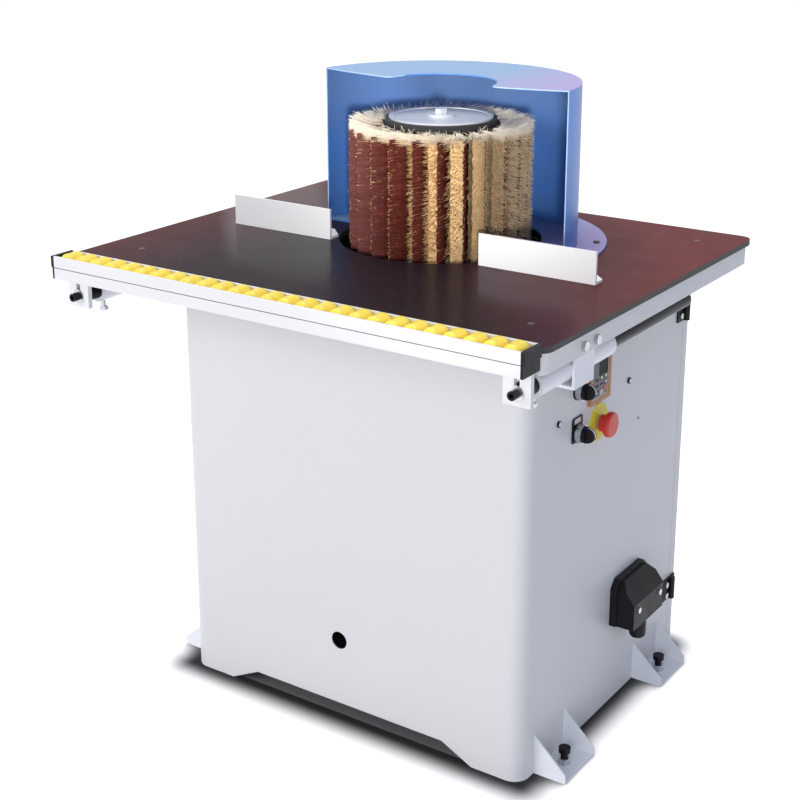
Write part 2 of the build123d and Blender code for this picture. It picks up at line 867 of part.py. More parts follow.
def spindle_housing():
    """The flanged tube that holds the spindle's two bearings."""
    housing = round_z(0, brush_y, shelf_top, housing_top, bearing_radius + housing_wall)
    housing += round_z(0, brush_y, shelf_top, shelf_top + housing_flange_height, housing_flange)
    for plane in housing_bolt_planes():
        housing -= hole(plane, bolt_radius, housing_flange_height + past)
    return housing - round_z(0, brush_y, shelf_top - past, housing_top + past, bearing_radius)


def bearing(bottom):
    """One bearing, as its ring between the housing and the spindle."""
    top = bottom + bearing_height
    ring = round_z(0, brush_y, bottom, top, bearing_radius - seat_gap)
    return ring - round_z(0, brush_y, bottom - past, top + past, spindle_radius + running_gap)


def motor_bore():
    """Room in the motor for its shaft."""
    top = shelf_top + motor_shaft_depth + running_gap
    return round_z(motor_x, brush_y, shelf_top - past, top, motor_shaft_radius + running_gap)


def motor_end_shield():
    """The motor's flange on the shelf."""
    shield = round_z(motor_x, brush_y, shelf_top, motor_body_bottom, motor_flange)
    for plane in motor_bolt_planes():
        shield -= hole(plane, bolt_radius, motor_flange_height + past)
    return shield - motor_bore()


def motor_body():
    """The motor's round body with its cooling fins."""
    body = round_z(motor_x, brush_y, motor_body_bottom, motor_body_top, motor_radius)
    half = motor_fin / 6
    fin = block(motor_radius - past, motor_radius + motor_fin, -half, half, motor_body_bottom, motor_body_top)
    for number in range(motor_fin_count):
        body += Pos(motor_x, brush_y) * Rot(0, 0, 360 * number / motor_fin_count) * fin
    return body - motor_bore()


def motor_fan_cap():
    """The cover over the motor's fan."""
    top = motor_body_top + motor_fan_cover
    cap = round_z(motor_x, brush_y, motor_body_top, top, motor_radius + motor_fin)
    return fillet(cap.edges().sort_by(Axis.Z)[-1:], motor_fin)


def terminal_box():
    """The box for the motor's wires, shaped to sit on the fins."""
    half = motor_radius / 2
    front = brush_y - motor_radius - motor_shaft_depth / 2
    middle = (motor_body_bottom + motor_body_top) / 2
    box = block(motor_x - half, motor_x + half, front, brush_y - half, middle - half, middle + half)
    return box - motor_body()


def motor_shaft():
    """The motor's shaft, from inside the motor down to its pulley."""
    return round_z(motor_x, brush_y, pulley_bottom, shelf_top + motor_shaft_depth, motor_shaft_radius)


# Roller rail

def wheel_places():
    """The X of each wheel along the rail."""
    return [(number - (wheel_count - 1) / 2) * wheel_pitch for number in range(wheel_count)]


def rail_profile():
    """The channel that holds the wheels, with a groove along its front and bearing holes for the axles."""
    inner_front = rail_front + rail_wall
    inner_back = rail_back - rail_wall
    floor = rail_bottom + rail_floor
    outline = closed((rail_front, rail_bottom), (rail_back, rail_bottom), (rail_back, rail_top),
                     (inner_back, rail_top), (inner_back, floor), (inner_front, floor),
                     (inner_front, rail_top), (rail_front, rail_top))
    rail = along_x(outline, -rail_half, rail_half)
    rail -= block(-rail_half - past, rail_half + past, rail_front - past, rail_front + rail_groove,
                  rail_groove_z - rail_groove / 2, rail_groove_z + rail_groove / 2)
    bores = [round_y(x, inner_front - axle_bearing_depth, inner_back + axle_bearing_depth, wheel_z,
                     axle_radius + running_gap) for x in wheel_places()]
    return rail - bores


def rail_wheel(x):
    """One wheel with its two stub axles."""
    front = rail_front + rail_wall + wheel_side_gap
    back = rail_back - rail_wall - wheel_side_gap
    wheel = round_y(x, front, back, wheel_z, wheel_radius)
    wheel = fillet(wheel.edges(), wheel_round)
    reach = wheel_side_gap + axle_bearing_depth - running_gap
    return wheel + round_y(x, front - reach, back + reach, wheel_z, axle_radius)


def rail_end_cap():
    """The plastic cap on the rail's right end, thicker above the groove."""
    end = rail_half + cap_thickness
    cap = block(rail_half, end, rail_front, rail_back, rail_bottom, rail_top)
    return cap + block(rail_half, end + cap_step, rail_front, rail_back, rail_groove_z, rail_top)


def rail_end_plate():
    """The plate under the rail's right end, slotted so that the rail can be set to the table's height."""
    bottom = rod_z - plate_below_rod
    half = plate_width / 2
    plate = block(rod_x - half, rod_x + half, plate_front, plate_back, bottom, rail_bottom)
    radius = rod_screw_radius + seat_gap
    front = plate_front - past
    back = plate_back + past
    low = rod_z - slot_fall
    high = rod_z + slot_rise
    slot = round_y(rod_x, front, back, low, radius)
    slot += round_y(rod_x, front, back, high, radius)
    slot += block(rod_x - radius, rod_x + radius, front, back, low, high)
    return plate - slot


def support_rod():
    """The right rod, with a threaded hole in its front end."""
    rod = round_y(rod_x, plate_back, plate_back + rod_length, rod_z, rod_radius)
    bore = rod_screw_radius + seat_gap
    return rod - round_y(rod_x, plate_back - past, plate_back + rod_screw_depth, rod_z, bore)


def rod_screw():
    """The socket screw and washer that hold the end plate to the rod."""
    washer_front = plate_front - rod_washer_height
    head_front = washer_front - rod_screw_head_height
    screw_end = plate_back + rod_screw_depth - seat_gap
    body = round_y(rod_x, washer_front, screw_end, rod_z, rod_screw_radius)
    body += round_y(rod_x, head_front, washer_front, rod_z, rod_screw_head)
    body += round_y(rod_x, washer_front, plate_front, rod_z, rod_washer_radius)
    socket = hexagon(Plane((rod_x, head_front, rod_z), x_dir=(1, 0, 0), z_dir=(0, 1, 0)),
                     rod_screw_head, rod_screw_head_height / 2)
    return body - socket


def guide_tube():
    """The right guide tube welded to its bracket: a plate behind the apron with a foot under the tube."""
    tube_back = tube_front + tube_length
    tube = round_y(rod_x, tube_front, tube_back, rod_z, tube_radius)
    start = table_front + tube_bracket_setback
    leg_end = start + tube_leg_width
    bottom = table_height - tube_bracket_drop
    inner = bracket_face - tube_bracket_sheet
    plate = block(inner, bracket_face, start, start + tube_bracket_width, cabinet_top, frame_top)
    leg = block(inner, bracket_face, start, leg_end, bottom, cabinet_top)
    foot = block(bracket_face - tube_bracket_foot, bracket_face, start, leg_end,
                 bottom, bottom + tube_bracket_sheet)
    guide = tube + plate + leg + foot
    guide -= round_y(rod_x, tube_front - past, tube_back + past, rod_z, rod_radius + running_gap)
    for plane in apron_bolt_planes():
        guide -= hole(plane, bolt_radius, apron_sheet + tube_bracket_sheet + past)
    return guide - hole(lock_bolt_plane(), bolt_radius, lock_bolt_show + tube_wall + past)


def lock_bolt():
    """The bolt under the right tube, which stops just short of the rod."""
    length = lock_bolt_show + tube_wall - moving_gap
    return bolt(lock_bolt_plane(), bolt_radius, length, bolt_head_across, bolt_head_height)


# Back door, hinges and latch

def knuckle(bottom, top):
    """One barrel of a hinge."""
    return round_z(hinge_x, hinge_y, bottom, top, hinge_knuckle)


def fixed_leaf(bottom):
    """The hinge leaf on the cabinet's side, with the lower barrel and the pin."""
    middle = bottom + hinge_height / 2
    start = cabinet_back - hinge_leaf - hinge_knuckle
    top = bottom + hinge_height
    leaf = block(cabinet_side, cabinet_side + hinge_sheet, start, cabinet_back - seat_gap, bottom, top)
    leaf -= round_z(hinge_x, hinge_y, middle - seat_gap, top + past, hinge_knuckle + moving_gap)
    leaf += knuckle(bottom, middle - moving_gap)
    leaf += round_z(hinge_x, hinge_y, bottom, top, hinge_pin)
    for plane in hinge_screw_planes():
        leaf -= hole(plane, small_screw_radius, hinge_sheet + past)
    return leaf


def moving_leaf(bottom):
    """The hinge leaf on the door's side, with the upper barrel."""
    middle = bottom + hinge_height / 2
    top = bottom + hinge_height
    end = door_back - door_sheet
    leaf = block(cabinet_side, cabinet_side + hinge_sheet, hinge_y, end, bottom, top)
    leaf -= round_z(hinge_x, hinge_y, bottom - past, middle + seat_gap, hinge_knuckle + moving_gap)
    leaf += knuckle(middle, top)
    return leaf - round_z(hinge_x, hinge_y, middle - past, top + past, hinge_pin + running_gap)


def rear_door():
    """The pan-shaped door that closes the back."""
    front = cabinet_back + door_gap
    inside = cabinet_side - door_sheet
    door = block(-cabinet_side, cabinet_side, front, door_back, door_bottom, door_top)
    door -= block(-inside, inside, front - past, door_back - door_sheet,
                  door_bottom + door_sheet, door_top - door_sheet)
    return door - round_y(latch_x, front, door_back + past, latch_height, latch_radius + running_gap)


def door_latch():
    """A quarter-turn latch: a slotted head outside, a shaft and a cam that turns behind the door frame."""
    cam_back = cabinet_back - cabinet_sheet - 2 * moving_gap
    cam_front = cam_back - latch_cam_sheet
    head_back = door_back + latch_head_height
    latch = round_y(latch_x, cam_front, head_back, latch_height, latch_radius)
    latch += round_y(latch_x, door_back + moving_gap, head_back, latch_height, latch_head_radius)
    latch += block(latch_x - latch_radius, latch_x + latch_radius, cam_front, cam_back,
                   latch_height - latch_cam_length + latch_radius, latch_height + latch_radius)
    slot = latch_radius / 4
    slot_front = head_back - latch_head_height / 2
    return latch - block(latch_x - slot, latch_x + slot, slot_front, head_back + past,
                         latch_height - latch_head_radius, latch_height + latch_head_radius)


# Controls

def speed_inverter():
    """The inverter in the cabinet, whose keypad face and frame show on the right wall."""
    y, z = keypad_place
    plane = wall_plane(y, z)
    frame = extrude(plane * RectangleRounded(keypad_width, keypad_height, inverter_border), keypad_rise)
    face = Rectangle(keypad_width - 2 * keypad_bezel, keypad_height - 2 * keypad_bezel)
    frame -= extrude(plane.offset(keypad_rise - keypad_recess) * face, past + keypad_recess)
    case = plane * Rectangle(keypad_width - 2 * inverter_border, keypad_height - 2 * inverter_border)
    return frame + extrude(case, -inverter_depth)


def selector_bezel(place, seat):
    """A selector switch's ring outside the wall and its bush through it."""
    y, z = place
    start = cabinet_side + seat
    end = start + selector_bezel_height
    bezel = round_x(start, end, y, z, selector_bezel_radius)
    bezel += round_x(cabinet_side - selector_bush_depth, start, y, z, selector_bush_radius)
    bore_start = cabinet_side - selector_bush_depth / 2
    return bezel - round_x(bore_start, end + past, y, z, knob_stem_radius + running_gap)


def selector_knob(place, seat):
    """A selector's knob: a round base, an upright domed grip and a stem in the bush."""
    y, z = place
    start = cabinet_side + seat + selector_bezel_height + moving_gap
    base_end = start + knob_base_height
    half = knob_radius - knob_edge
    dome = Pos(base_end, z) * Ellipse(knob_grip_height, half)
    dome &= Pos(base_end + knob_grip_height / 2, z) * Rectangle(knob_grip_height, 2 * half)
    grip = across_y(dome, y - knob_grip_width / 2, y + knob_grip_width / 2)
    grip = fillet(grip.edges().filter_by(GeomType.ELLIPSE), knob_grip_round)
    stem_start = cabinet_side - selector_bush_depth / 2 + moving_gap
    knob = round_x(start, base_end, y, z, knob_radius) + grip
    return knob + round_x(stem_start, start, y, z, knob_stem_radius)


def legend_plate():
    """The plate behind the lower selector, with room above it for a label."""
    y, z = lower_place
    below = selector_bezel_radius
    outline = RectangleRounded(legend_width, legend_above + below, inverter_border)
    plate = Pos(0, (legend_above - below) / 2) * outline - Circle(selector_bush_radius + seat_gap)
    return extrude(wall_plane(y, z) * plate, legend_sheet)


def stop_plate():
    """The round plate behind the stop button."""
    y, z = stop_place
    plate = Circle(stop_plate_radius) - Circle(selector_bush_radius + seat_gap)
    return extrude(wall_plane(y, z) * plate, legend_sheet)


def stop_collar():
    """The collar that guides the stop button, with its bush through the wall."""
    y, z = stop_place
    seat = cabinet_side + legend_sheet
    end = seat + stop_collar_height
    collar = round_x(seat, end, y, z, stop_collar_radius)
    collar += round_x(cabinet_side - selector_bush_depth, seat, y, z, selector_bush_radius)
    bore_start = cabinet_side - selector_bush_depth + moving_gap
    return collar - round_x(bore_start, end + past, y, z, stop_stem_radius + running_gap)


def stop_button():
    """The mushroom button: a stem in the collar, a skirt round the collar and a wide head."""
    y, z = stop_place
    seat = cabinet_side + legend_sheet
    skirt_start = seat + stop_travel + moving_gap
    head_start = skirt_start + stop_skirt_height
    room_end = seat + stop_collar_height + stop_travel + moving_gap
    room_radius = stop_collar_radius + moving_gap
    stem_start = cabinet_side - selector_bush_depth + stop_travel + 2 * moving_gap
    button = round_x(head_start, head_start + stop_head_height, y, z, stop_head_radius)
    button = fillet(button.edges(), stop_head_height / 3)
    button += round_x(skirt_start, head_start + past, y, z, room_radius + stop_skirt_wall)
    button -= round_x(skirt_start - past, room_end, y, z, room_radius)
    return button + round_x(stem_start, room_end + past, y, z, stop_stem_radius)


# Inlet box

def inlet_outline(inset):
    """The box's outline on the wall, with its two upper corners cut off."""
    half = inlet_width / 2 - inset
    top = inlet_height - inset
    side = top - inlet_round
    shoulder = half - inlet_round
    return closed((-half, 0), (half, 0), (half, side), (shoulder, top), (-shoulder, top), (-half, side))


def inlet_base():
    """The box's base on the wall."""
    return extrude(wall_plane(inlet_y, inlet_bottom) * inlet_outline(0), inlet_base_depth)


def inlet_cover():
    """The cover: a flat lower face and a slope that falls back to the top of the base."""
    start = cabinet_side + inlet_base_depth
    end = cabinet_side + inlet_depth
    cover = extrude(wall_plane(inlet_y, inlet_bottom, start) * inlet_outline(bracket_sheet), end - start)
    face_top = inlet_bottom + inlet_face_height
    top = inlet_bottom + inlet_height
    slope = closed((end + past, face_top), (end, face_top), (start + bracket_sheet, top),
                   (start, top + past), (end + past, top + past))
    cover -= across_y(slope, inlet_y - inlet_width, inlet_y + inlet_width)
    for plane in inlet_screw_planes():
        cover -= hole(plane, small_screw_radius, 2 * small_head_height)
    return cover


def cable_gland():
    """The gland under the cover that an inlet cable goes through."""
    x = cabinet_side + gland_reach
    gland = round_z(x, inlet_y, inlet_bottom - gland_length, inlet_bottom, gland_radius)
    gland = fillet(gland.edges().sort_by(Axis.Z)[:1], gland_radius / 2)
    mouth = inlet_bottom - gland_length
    return gland - round_z(x, inlet_y, mouth - past, mouth + gland_bore_depth, gland_bore)


# Fasteners that share one node

def long_bolts(planes, length):
    """A bolt on each plane, all of one length."""
    return [bolt(plane, bolt_radius, length, bolt_head_across, bolt_head_height) for plane in planes]


def zinc_fasteners():
    """Nuts, bolts and screws that stay with the cabinet and table."""
    nuts = both_sides([levelling_nut(x, y) for x, y in level_places])
    apron_bolts = long_bolts(apron_bolt_planes(), apron_sheet + tube_bracket_sheet)
    bolts = both_sides(apron_bolts + [lock_bolt()])
    bolts += long_bolts(housing_bolt_planes(), housing_flange_height + shelf_thickness)
    bolts += long_bolts(motor_bolt_planes(), motor_flange_height + shelf_thickness)
    bolts += long_bolts(shelf_bolt_planes(), shelf_thickness + cabinet_sheet)
    flush = [table_screw(plane) for plane in table_screw_planes()]
    grips = [(fence_screw_planes(), fence_sheet + top_thickness),
             (hood_screw_planes(), hood_base_sheet + top_thickness),
             (inlet_screw_planes(), 2 * small_head_height - seat_gap),
             (hinge_screw_planes(), hinge_sheet + cabinet_sheet + small_screw_grip),
             (side_screw_planes(), cabinet_sheet + small_screw_grip)]
    screws = [screw(plane, small_screw_radius, length, small_head_radius, small_head_height)
              for planes, length in grips for plane in planes]
    return nuts + bolts + flush + screws


# One file for each node

def solids_of(pieces):
    """The separate solids in a list of pieces."""
    return [solid for piece in pieces for solid in piece.solids()]


def write(name, *pieces):
    """Writes a node's solids to its own file."""
    export_step(Compound(children=solids_of(pieces)), os.path.join("parts", name + ".step"))


os.makedirs("parts", exist_ok=True)

write("cabinet_shell", *cabinet_walls(), *top_flanges(), *doorway(), *shelf_ledges())
write("foot_brackets", *both_sides([foot_bracket(y) for x, y in level_places]))
write("levelling_screws", *both_sides([levelling_screw(x, y) for x, y in level_places]))
write("zinc_fasteners", *zinc_fasteners())
write("table_frame", table_frame())
write("table_top", table_top())
write("dust_hood", hood_base(), hood_wall(), hood_roof())
write("fences", *both_sides([fence()]))
write("guide_tubes", *both_sides([guide_tube()]))
write("drive_shelf", drive_shelf())
write("spindle_housing", spindle_housing(), bearing(shelf_top), bearing(housing_top - bearing_height))
write("motor_housing", motor_end_shield(), motor_body(), motor_fan_cap(), terminal_box())
write("drive_belt", drive_belt())
write("speed_inverter", speed_inverter())
write("switch_bezels", selector_bezel(upper_place, 0), selector_bezel(lower_place, legend_sheet),
      legend_plate(), stop_plate(), stop_collar())
write("inlet_box", inlet_base(), inlet_cover(), cable_gland())
write("door_hinges", *[fixed_leaf(z) for z in hinge_heights])
write("spindle", spindle(), pulley(0, spindle_pulley_radius, spindle_radius))
write("brush_core", brush_core())
write("sanding_flaps", *round_the_brush(sanding_flap()))
write("bristle_strips", *round_the_brush(bristle_strip()))
write("rubber_ring", rubber_ring())
write("clamp_disc", clamp_disc(), clamp_washer(), clamp_bolt())
write("motor_shaft", motor_shaft(), pulley(motor_x, motor_pulley_radius, motor_shaft_radius))
write("rear_door", rear_door(), *[moving_leaf(z) for z in hinge_heights])
write("door_latch", door_latch())
write("upper_selector_knob", selector_knob(upper_place, 0))
write("lower_selector_knob", selector_knob(lower_place, legend_sheet))
write("stop_button", stop_button())
write("rail_profile", rail_profile())
write("rail_end_caps", *both_sides([rail_end_cap()]))
write("rail_end_plates", *both_sides([rail_end_plate()]))
write("support_rods", *both_sides([support_rod(), rod_screw()]))
for number, x in enumerate(wheel_places(), start=1):
    write(f"rail_wheel_{number:02d}", rail_wheel(x))

print("wheel pitch", round(wheel_pitch, 2), "wheel radius", round(wheel_radius, 2))
print("rods at", round(rod_x, 2), "bristle strands", strip_count * strand_count)
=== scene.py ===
# %% [markdown]
# # A brush sanding machine, dressed in Blender
#
# The machine is a steel cabinet with a dark table on it. An upright brush of sanding flaps and plant-fibre
# bristles stands through the table, under a blue hood, and a row of yellow wheels carries the workpiece
# along the front edge. The solid pieces arrive from the construction model, in metres, each already in its
# place. This lesson gives them their finishes, grows the brush's real flaps and bristles, and lights the
# whole for one photograph.

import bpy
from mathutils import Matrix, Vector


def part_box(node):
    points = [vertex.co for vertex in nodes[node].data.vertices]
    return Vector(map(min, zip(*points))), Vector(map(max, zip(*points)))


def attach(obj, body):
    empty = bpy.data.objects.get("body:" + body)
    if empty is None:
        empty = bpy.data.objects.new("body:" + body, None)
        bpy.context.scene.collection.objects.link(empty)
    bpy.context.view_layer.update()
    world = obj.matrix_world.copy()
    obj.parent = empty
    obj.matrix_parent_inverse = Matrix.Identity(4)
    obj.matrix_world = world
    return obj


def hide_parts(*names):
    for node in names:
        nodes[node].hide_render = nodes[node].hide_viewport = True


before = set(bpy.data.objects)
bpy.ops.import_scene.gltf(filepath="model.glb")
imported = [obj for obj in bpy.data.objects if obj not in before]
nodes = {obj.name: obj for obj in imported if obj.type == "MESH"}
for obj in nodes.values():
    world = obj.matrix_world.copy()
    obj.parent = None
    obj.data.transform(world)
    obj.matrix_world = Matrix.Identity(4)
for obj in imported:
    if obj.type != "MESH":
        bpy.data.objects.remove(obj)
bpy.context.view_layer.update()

# %% [markdown]
# Everything else in this lesson needs a few libraries: `bpy` for Blender itself and `numpy` for the thousands
# of bristles.

# %% Libraries
import math

import bpy
import numpy as np
from mathutils import Vector

scene = bpy.context.scene
print("Blender", bpy.app.version_string)

# %% [markdown]
# ## The camera
#
# A camera can be placed by eye, but here the photograph's edges were measured first: a table of known width
# and depth gives the distance, the height and the lens. The photographer stood in front of the right-hand
# corner, a little above the hood, and the picture was cropped, so a small lens shift puts the machine where
# it sits in the frame.

# %% Place the camera
lens = bpy.data.cameras.new("photo_lens")
lens.sensor_width = 36.0
lens.lens = 68.15
lens.shift_x = -0.005
lens.shift_y = -0.117
camera = bpy.data.objects.new("photo_camera", lens)
camera.location = (1.3013, -1.9387, 1.363)
camera.rotation_euler = (math.radians(73.21), 0.0, math.radians(34.16))
scene.collection.objects.link(camera)
scene.camera = camera
scene.view_settings.view_transform = "Standard"
print("camera", round(camera.location.length, 2), "m from the machine's foot")

# %% [markdown]
# ## Floor and light
#
# The machine was photographed on white. A white floor can be lit until it clips, but that also bleaches the
# paint. Here the floor adds a little light of its own, only where the camera or a reflection looks at it,
# so the paint is lit at a plain level and the floor still shows the machine's soft shadow. The patch of
# floor inside the cabinet has no such light, so the hole in the cabinet's front looks into the dark. Next
# to the cabinet's foot the floor's own light fades out, by the distance from the foot's outline, and an
# ambient occlusion node does the same round the brackets. That leaves the dark line of shadow that ties a
# heavy machine to the ground.

# %% Helpers for node trees
def srgb(red, green, blue):
    """A colour as a paint chip gives it, 0 to 255, in the linear values that shaders use."""
    shares = [value / 255.0 for value in (red, green, blue)]
    return tuple(s / 12.92 if s <= 0.04045 else ((s + 0.055) / 1.055) ** 2.4 for s in shares)


def grey_of(level):
    """A plain grey with its alpha, as a node takes it."""
    return (level, level, level, 1)


def put(tree, socket, value):
    """Fills a node's input: links it to another node's output, or writes a plain value into it."""
    if isinstance(value, bpy.types.NodeSocket):
        tree.links.new(value, socket)
    else:
        socket.default_value = value


def node(tree, kind, *values, **settings):
    """Adds a node. Values fill its inputs in order; a name, with underscores, is an input or a setting."""
    made = tree.nodes.new(kind)
    for name, value in settings.items():
        label = name.replace("_", " ")
        if label in made.inputs:
            put(tree, made.inputs[label], value)
        else:
            setattr(made, name, value)
    for socket, value in zip(made.inputs, values):
        put(tree, socket, value)
    return made


def combine(tree, operation, first, second):
    """The sum, product or larger of two values, each a number or another node's output."""
    return node(tree, "ShaderNodeMath", first, second, operation=operation).outputs[0]


def vector(tree, operation, *values):
    """One step with vectors: a difference, say, or a length."""
    made = node(tree, "ShaderNodeVectorMath", *values, operation=operation)
    return made.outputs["Value" if operation in ("LENGTH", "DOT_PRODUCT") else "Vector"]


def place_of(tree):
    """Where a point of the surface lies, in metres from the machine's origin."""
    return node(tree, "ShaderNodeTexCoord").outputs["Object"]


def between(tree, factor, low, high, start=0.3, end=0.7):
    """A number that goes from low to high as a factor goes from start to end."""
    ramp = node(tree, "ShaderNodeMapRange", factor, start, end, low, high)
    return ramp.outputs["Result"]


def blend_colours(tree, factor, first, second):
    """A colour between two, by a factor; each is a fixed colour or another node's output."""
    mix = node(tree, "ShaderNodeMix", factor, data_type="RGBA")
    for colour, socket in ((first, mix.inputs[6]), (second, mix.inputs[7])):
        put(tree, socket, (*colour[:3], 1) if isinstance(colour, tuple) else colour)
    return mix.outputs[2]


def looked_at(tree):
    """1 for a ray from the camera, a reflection or glass, and 0 for light on its way to a surface."""
    path = node(tree, "ShaderNodeLightPath").outputs
    seen = combine(tree, "MAXIMUM", path["Is Camera Ray"], path["Is Glossy Ray"])
    return combine(tree, "MAXIMUM", seen, path["Is Transmission Ray"])


print("a light grey chip is", tuple(round(v, 3) for v in srgb(225, 225, 222)))

# %% The white floor
FOOT_MIDDLE, FOOT_HALF = (0.0, 0.069, 0.0), (0.328, 0.259, 1.0)
FADE, CORNER_ROOM = 0.065, 0.04
floor_finish = bpy.data.materials.new("white_floor")
floor_finish.use_nodes = True
tree = floor_finish.node_tree
tree.nodes.clear()
outwards = vector(tree, "ABSOLUTE", vector(tree, "SUBTRACT", place_of(tree), FOOT_MIDDLE))
from_wall = vector(tree, "LENGTH", vector(tree, "MAXIMUM", vector(tree, "SUBTRACT", outwards, FOOT_HALF)))
contact = node(tree, "ShaderNodeMapRange", from_wall, 0.0, FADE, 0.0, 1.0, interpolation_type="SMOOTHSTEP")
corner_room = node(tree, "ShaderNodeAmbientOcclusion", Distance=CORNER_ROOM)
corner = between(tree, corner_room.outputs["AO"], 0.25, 1.0, 0.5, 0.95)
share = combine(tree, "MULTIPLY", contact.outputs["Result"], corner)
print("floor light fades within", FADE, "m of the cabinet")

# %% The floor's two faces
GLOW = 0.92
floor_paint = node(tree, "ShaderNodeBsdfDiffuse", Color=grey_of(0.8))
floor_grey = blend_colours(tree, share, grey_of(0.05), grey_of(0.5))
floor_shade = node(tree, "ShaderNodeBsdfDiffuse", Color=floor_grey)
glow = combine(tree, "MULTIPLY", share, GLOW)
floor_glow = node(tree, "ShaderNodeEmission", Color=grey_of(1.0), Strength=glow)
seen = node(tree, "ShaderNodeAddShader", floor_shade.outputs[0], floor_glow.outputs[0])
choose = node(tree, "ShaderNodeMixShader", looked_at(tree), floor_paint.outputs[0], seen.outputs[0])
node(tree, "ShaderNodeOutputMaterial", Surface=choose.outputs[0])
print("floor finish:", len(tree.nodes), "nodes")

# %% Lay the floor round the cabinet
FAR = 9.0
INNER_SIDE, INNER_FRONT, INNER_BACK = 0.318, -0.180, 0.320
xs = (-FAR, -INNER_SIDE, INNER_SIDE, FAR)
ys = (-FAR, INNER_FRONT, INNER_BACK, FAR)
corners = [(x, y, 0.0) for y in ys for x in xs]
tiles = [(a, a + 1, a + 5, a + 4) for a in (0, 1, 2, 4, 5, 6, 8, 9, 10)]
# The floor inside the cabinet is also a darker grey than the floor outside: painted shade for the inside of
# the cabinet.
inner_floor = bpy.data.materials.new("floor_inside_cabinet")
inner_floor.use_nodes = True
inner_floor.node_tree.nodes["Principled BSDF"].inputs["Base Color"].default_value = grey_of(0.25)
floor_mesh = bpy.data.meshes.new("floor")
floor_mesh.from_pydata(corners, [], tiles)
floor_mesh.materials.append(floor_finish)
floor_mesh.materials.append(inner_floor)
INNER_TILE = 4
floor_mesh.polygons[INNER_TILE].material_index = 1
floor = bpy.data.objects.new("floor", floor_mesh)
scene.collection.objects.link(floor)
print("floor tiles:", len(tiles), "of them inside the cabinet: 1")

# %% [markdown]
# The room is a plain pale dome, slightly blue as daylight is. One large warm lamp at the front left makes
# the cabinet's front brighter than its right side, a small one near the camera fills the shadows, and one
# on the ceiling lights the wheels. A narrow spotlight at the height of the hood reaches in under its roof,
# to the brush and the blue wall.

# %% The room
ROOM_LIGHT = 0.43
room = bpy.data.worlds.new("pale_room")
scene.world = room
room.use_nodes = True
tree = room.node_tree
tree.nodes.clear()
room_light = node(tree, "ShaderNodeBackground", Color=(0.82, 0.89, 1.12, 1), Strength=ROOM_LIGHT)
room_white = node(tree, "ShaderNodeBackground", Color=grey_of(1.0), Strength=1.0)
choose = node(tree, "ShaderNodeMixShader", looked_at(tree), room_light.outputs[0], room_white.outputs[0])
node(tree, "ShaderNodeOutputWorld", Surface=choose.outputs[0])
print("room light", ROOM_LIGHT)

# %% Lamps
def hang(name, lamp, spot, aim):
    """Puts a lamp at a spot, turned towards a point on the machine."""
    holder = bpy.data.objects.new(name, lamp)
    holder.location = spot
    holder.rotation_euler = (Vector(aim) - Vector(spot)).to_track_quat("-Z", "Y").to_euler()
    scene.collection.objects.link(holder)
    return holder


def softbox(name, spot, aim, width, watts, colour):
    """A large square lamp."""
    lamp = bpy.data.lights.new(name, "AREA")
    lamp.shape = "SQUARE"
    lamp.size = width
    lamp.energy = watts
    lamp.color = colour
    hang(name, lamp, spot, aim)


softbox("front_softbox", (-1.3, -3.4, 1.8), (0, 0, 0.6), 2.0, 55, (1.0, 0.965, 0.90))
softbox("camera_softbox", (1.3, -3.0, 1.25), (0, 0.1, 0.95), 1.0, 16, (0.95, 0.98, 1.04))
softbox("ceiling_softbox", (-0.4, 0.2, 3.4), (0, -0.1, 0.8), 1.8, 50, (1.0, 1.0, 1.0))
brush_spot = bpy.data.lights.new("brush_spot", "SPOT")
brush_spot.energy = 290
brush_spot.color = (1.0, 0.98, 0.96)
brush_spot.spot_size = math.radians(15)
brush_spot.spot_blend = 1.0
brush_spot.shadow_soft_size = 0.12
hang("brush_spot", brush_spot, (1.5, -2.1, 1.10), (0, 0.12, 0.98)).visible_glossy = False

# %% [markdown]
# ## Painted sheet metal
#
# The cabinet, the fences and the hood are powder coated. Powder melts into a skin that isn't quite flat: at
# arm's length it shows a fine orange peel, the gloss varies from place to place, and the colour drifts very
# slightly. A single grey would look like plastic. Two helpers make all the paints, from layers of noise: a
# fine one for the skin, a coarser one for the gloss and a broad one for the drift.

# %% Helpers for finishes
def plain_finish(name, colour, roughness, metallic=0.0, gloss=0.5):
    """A new material with its plain values set, its node tree and its main shader."""
    made = bpy.data.materials.new(name)
    made.use_nodes = True
    made.diffuse_color = (*colour, 1)
    shader = made.node_tree.nodes["Principled BSDF"]
    shader.inputs["Base Color"].default_value = (*colour, 1)
    shader.inputs["Roughness"].default_value = roughness
    shader.inputs["Metallic"].default_value = metallic
    shader.inputs["Specular IOR Level"].default_value = gloss
    return made, made.node_tree, shader


def noise(tree, scale, detail=2.0, stretch=(1, 1, 1)):
    """Cloudy noise over the machine: scale is in clouds per metre, and a stretch below 1 draws them out."""
    sizes = node(tree, "ShaderNodeMapping", Vector=place_of(tree), Scale=stretch)
    cloud = node(tree, "ShaderNodeTexNoise", Vector=sizes.outputs[0], Scale=scale, Detail=detail)
    return cloud.outputs["Fac"]


def along(tree, direction, low, high):
    """0 to 1 between two places along a direction, in metres from the machine's origin."""
    return between(tree, vector(tree, "DOT_PRODUCT", place_of(tree), direction), 0.0, 1.0, low, high)


def feed(shader, socket, source):
    """Links a node's output to one of a shader's inputs."""
    put(shader.id_data, shader.inputs[socket], source)


def raise_by(tree, shader, height, strength, distance):
    """Bump: a height from noise tilts the surface's light by up to a distance in metres."""
    bump = node(tree, "ShaderNodeBump", Height=height, Strength=strength, Distance=distance)
    feed(shader, "Normal", bump.outputs["Normal"])


def shade(colour, share):
    """The same colour, lighter or darker."""
    return tuple(min(1.0, value * share) for value in colour)


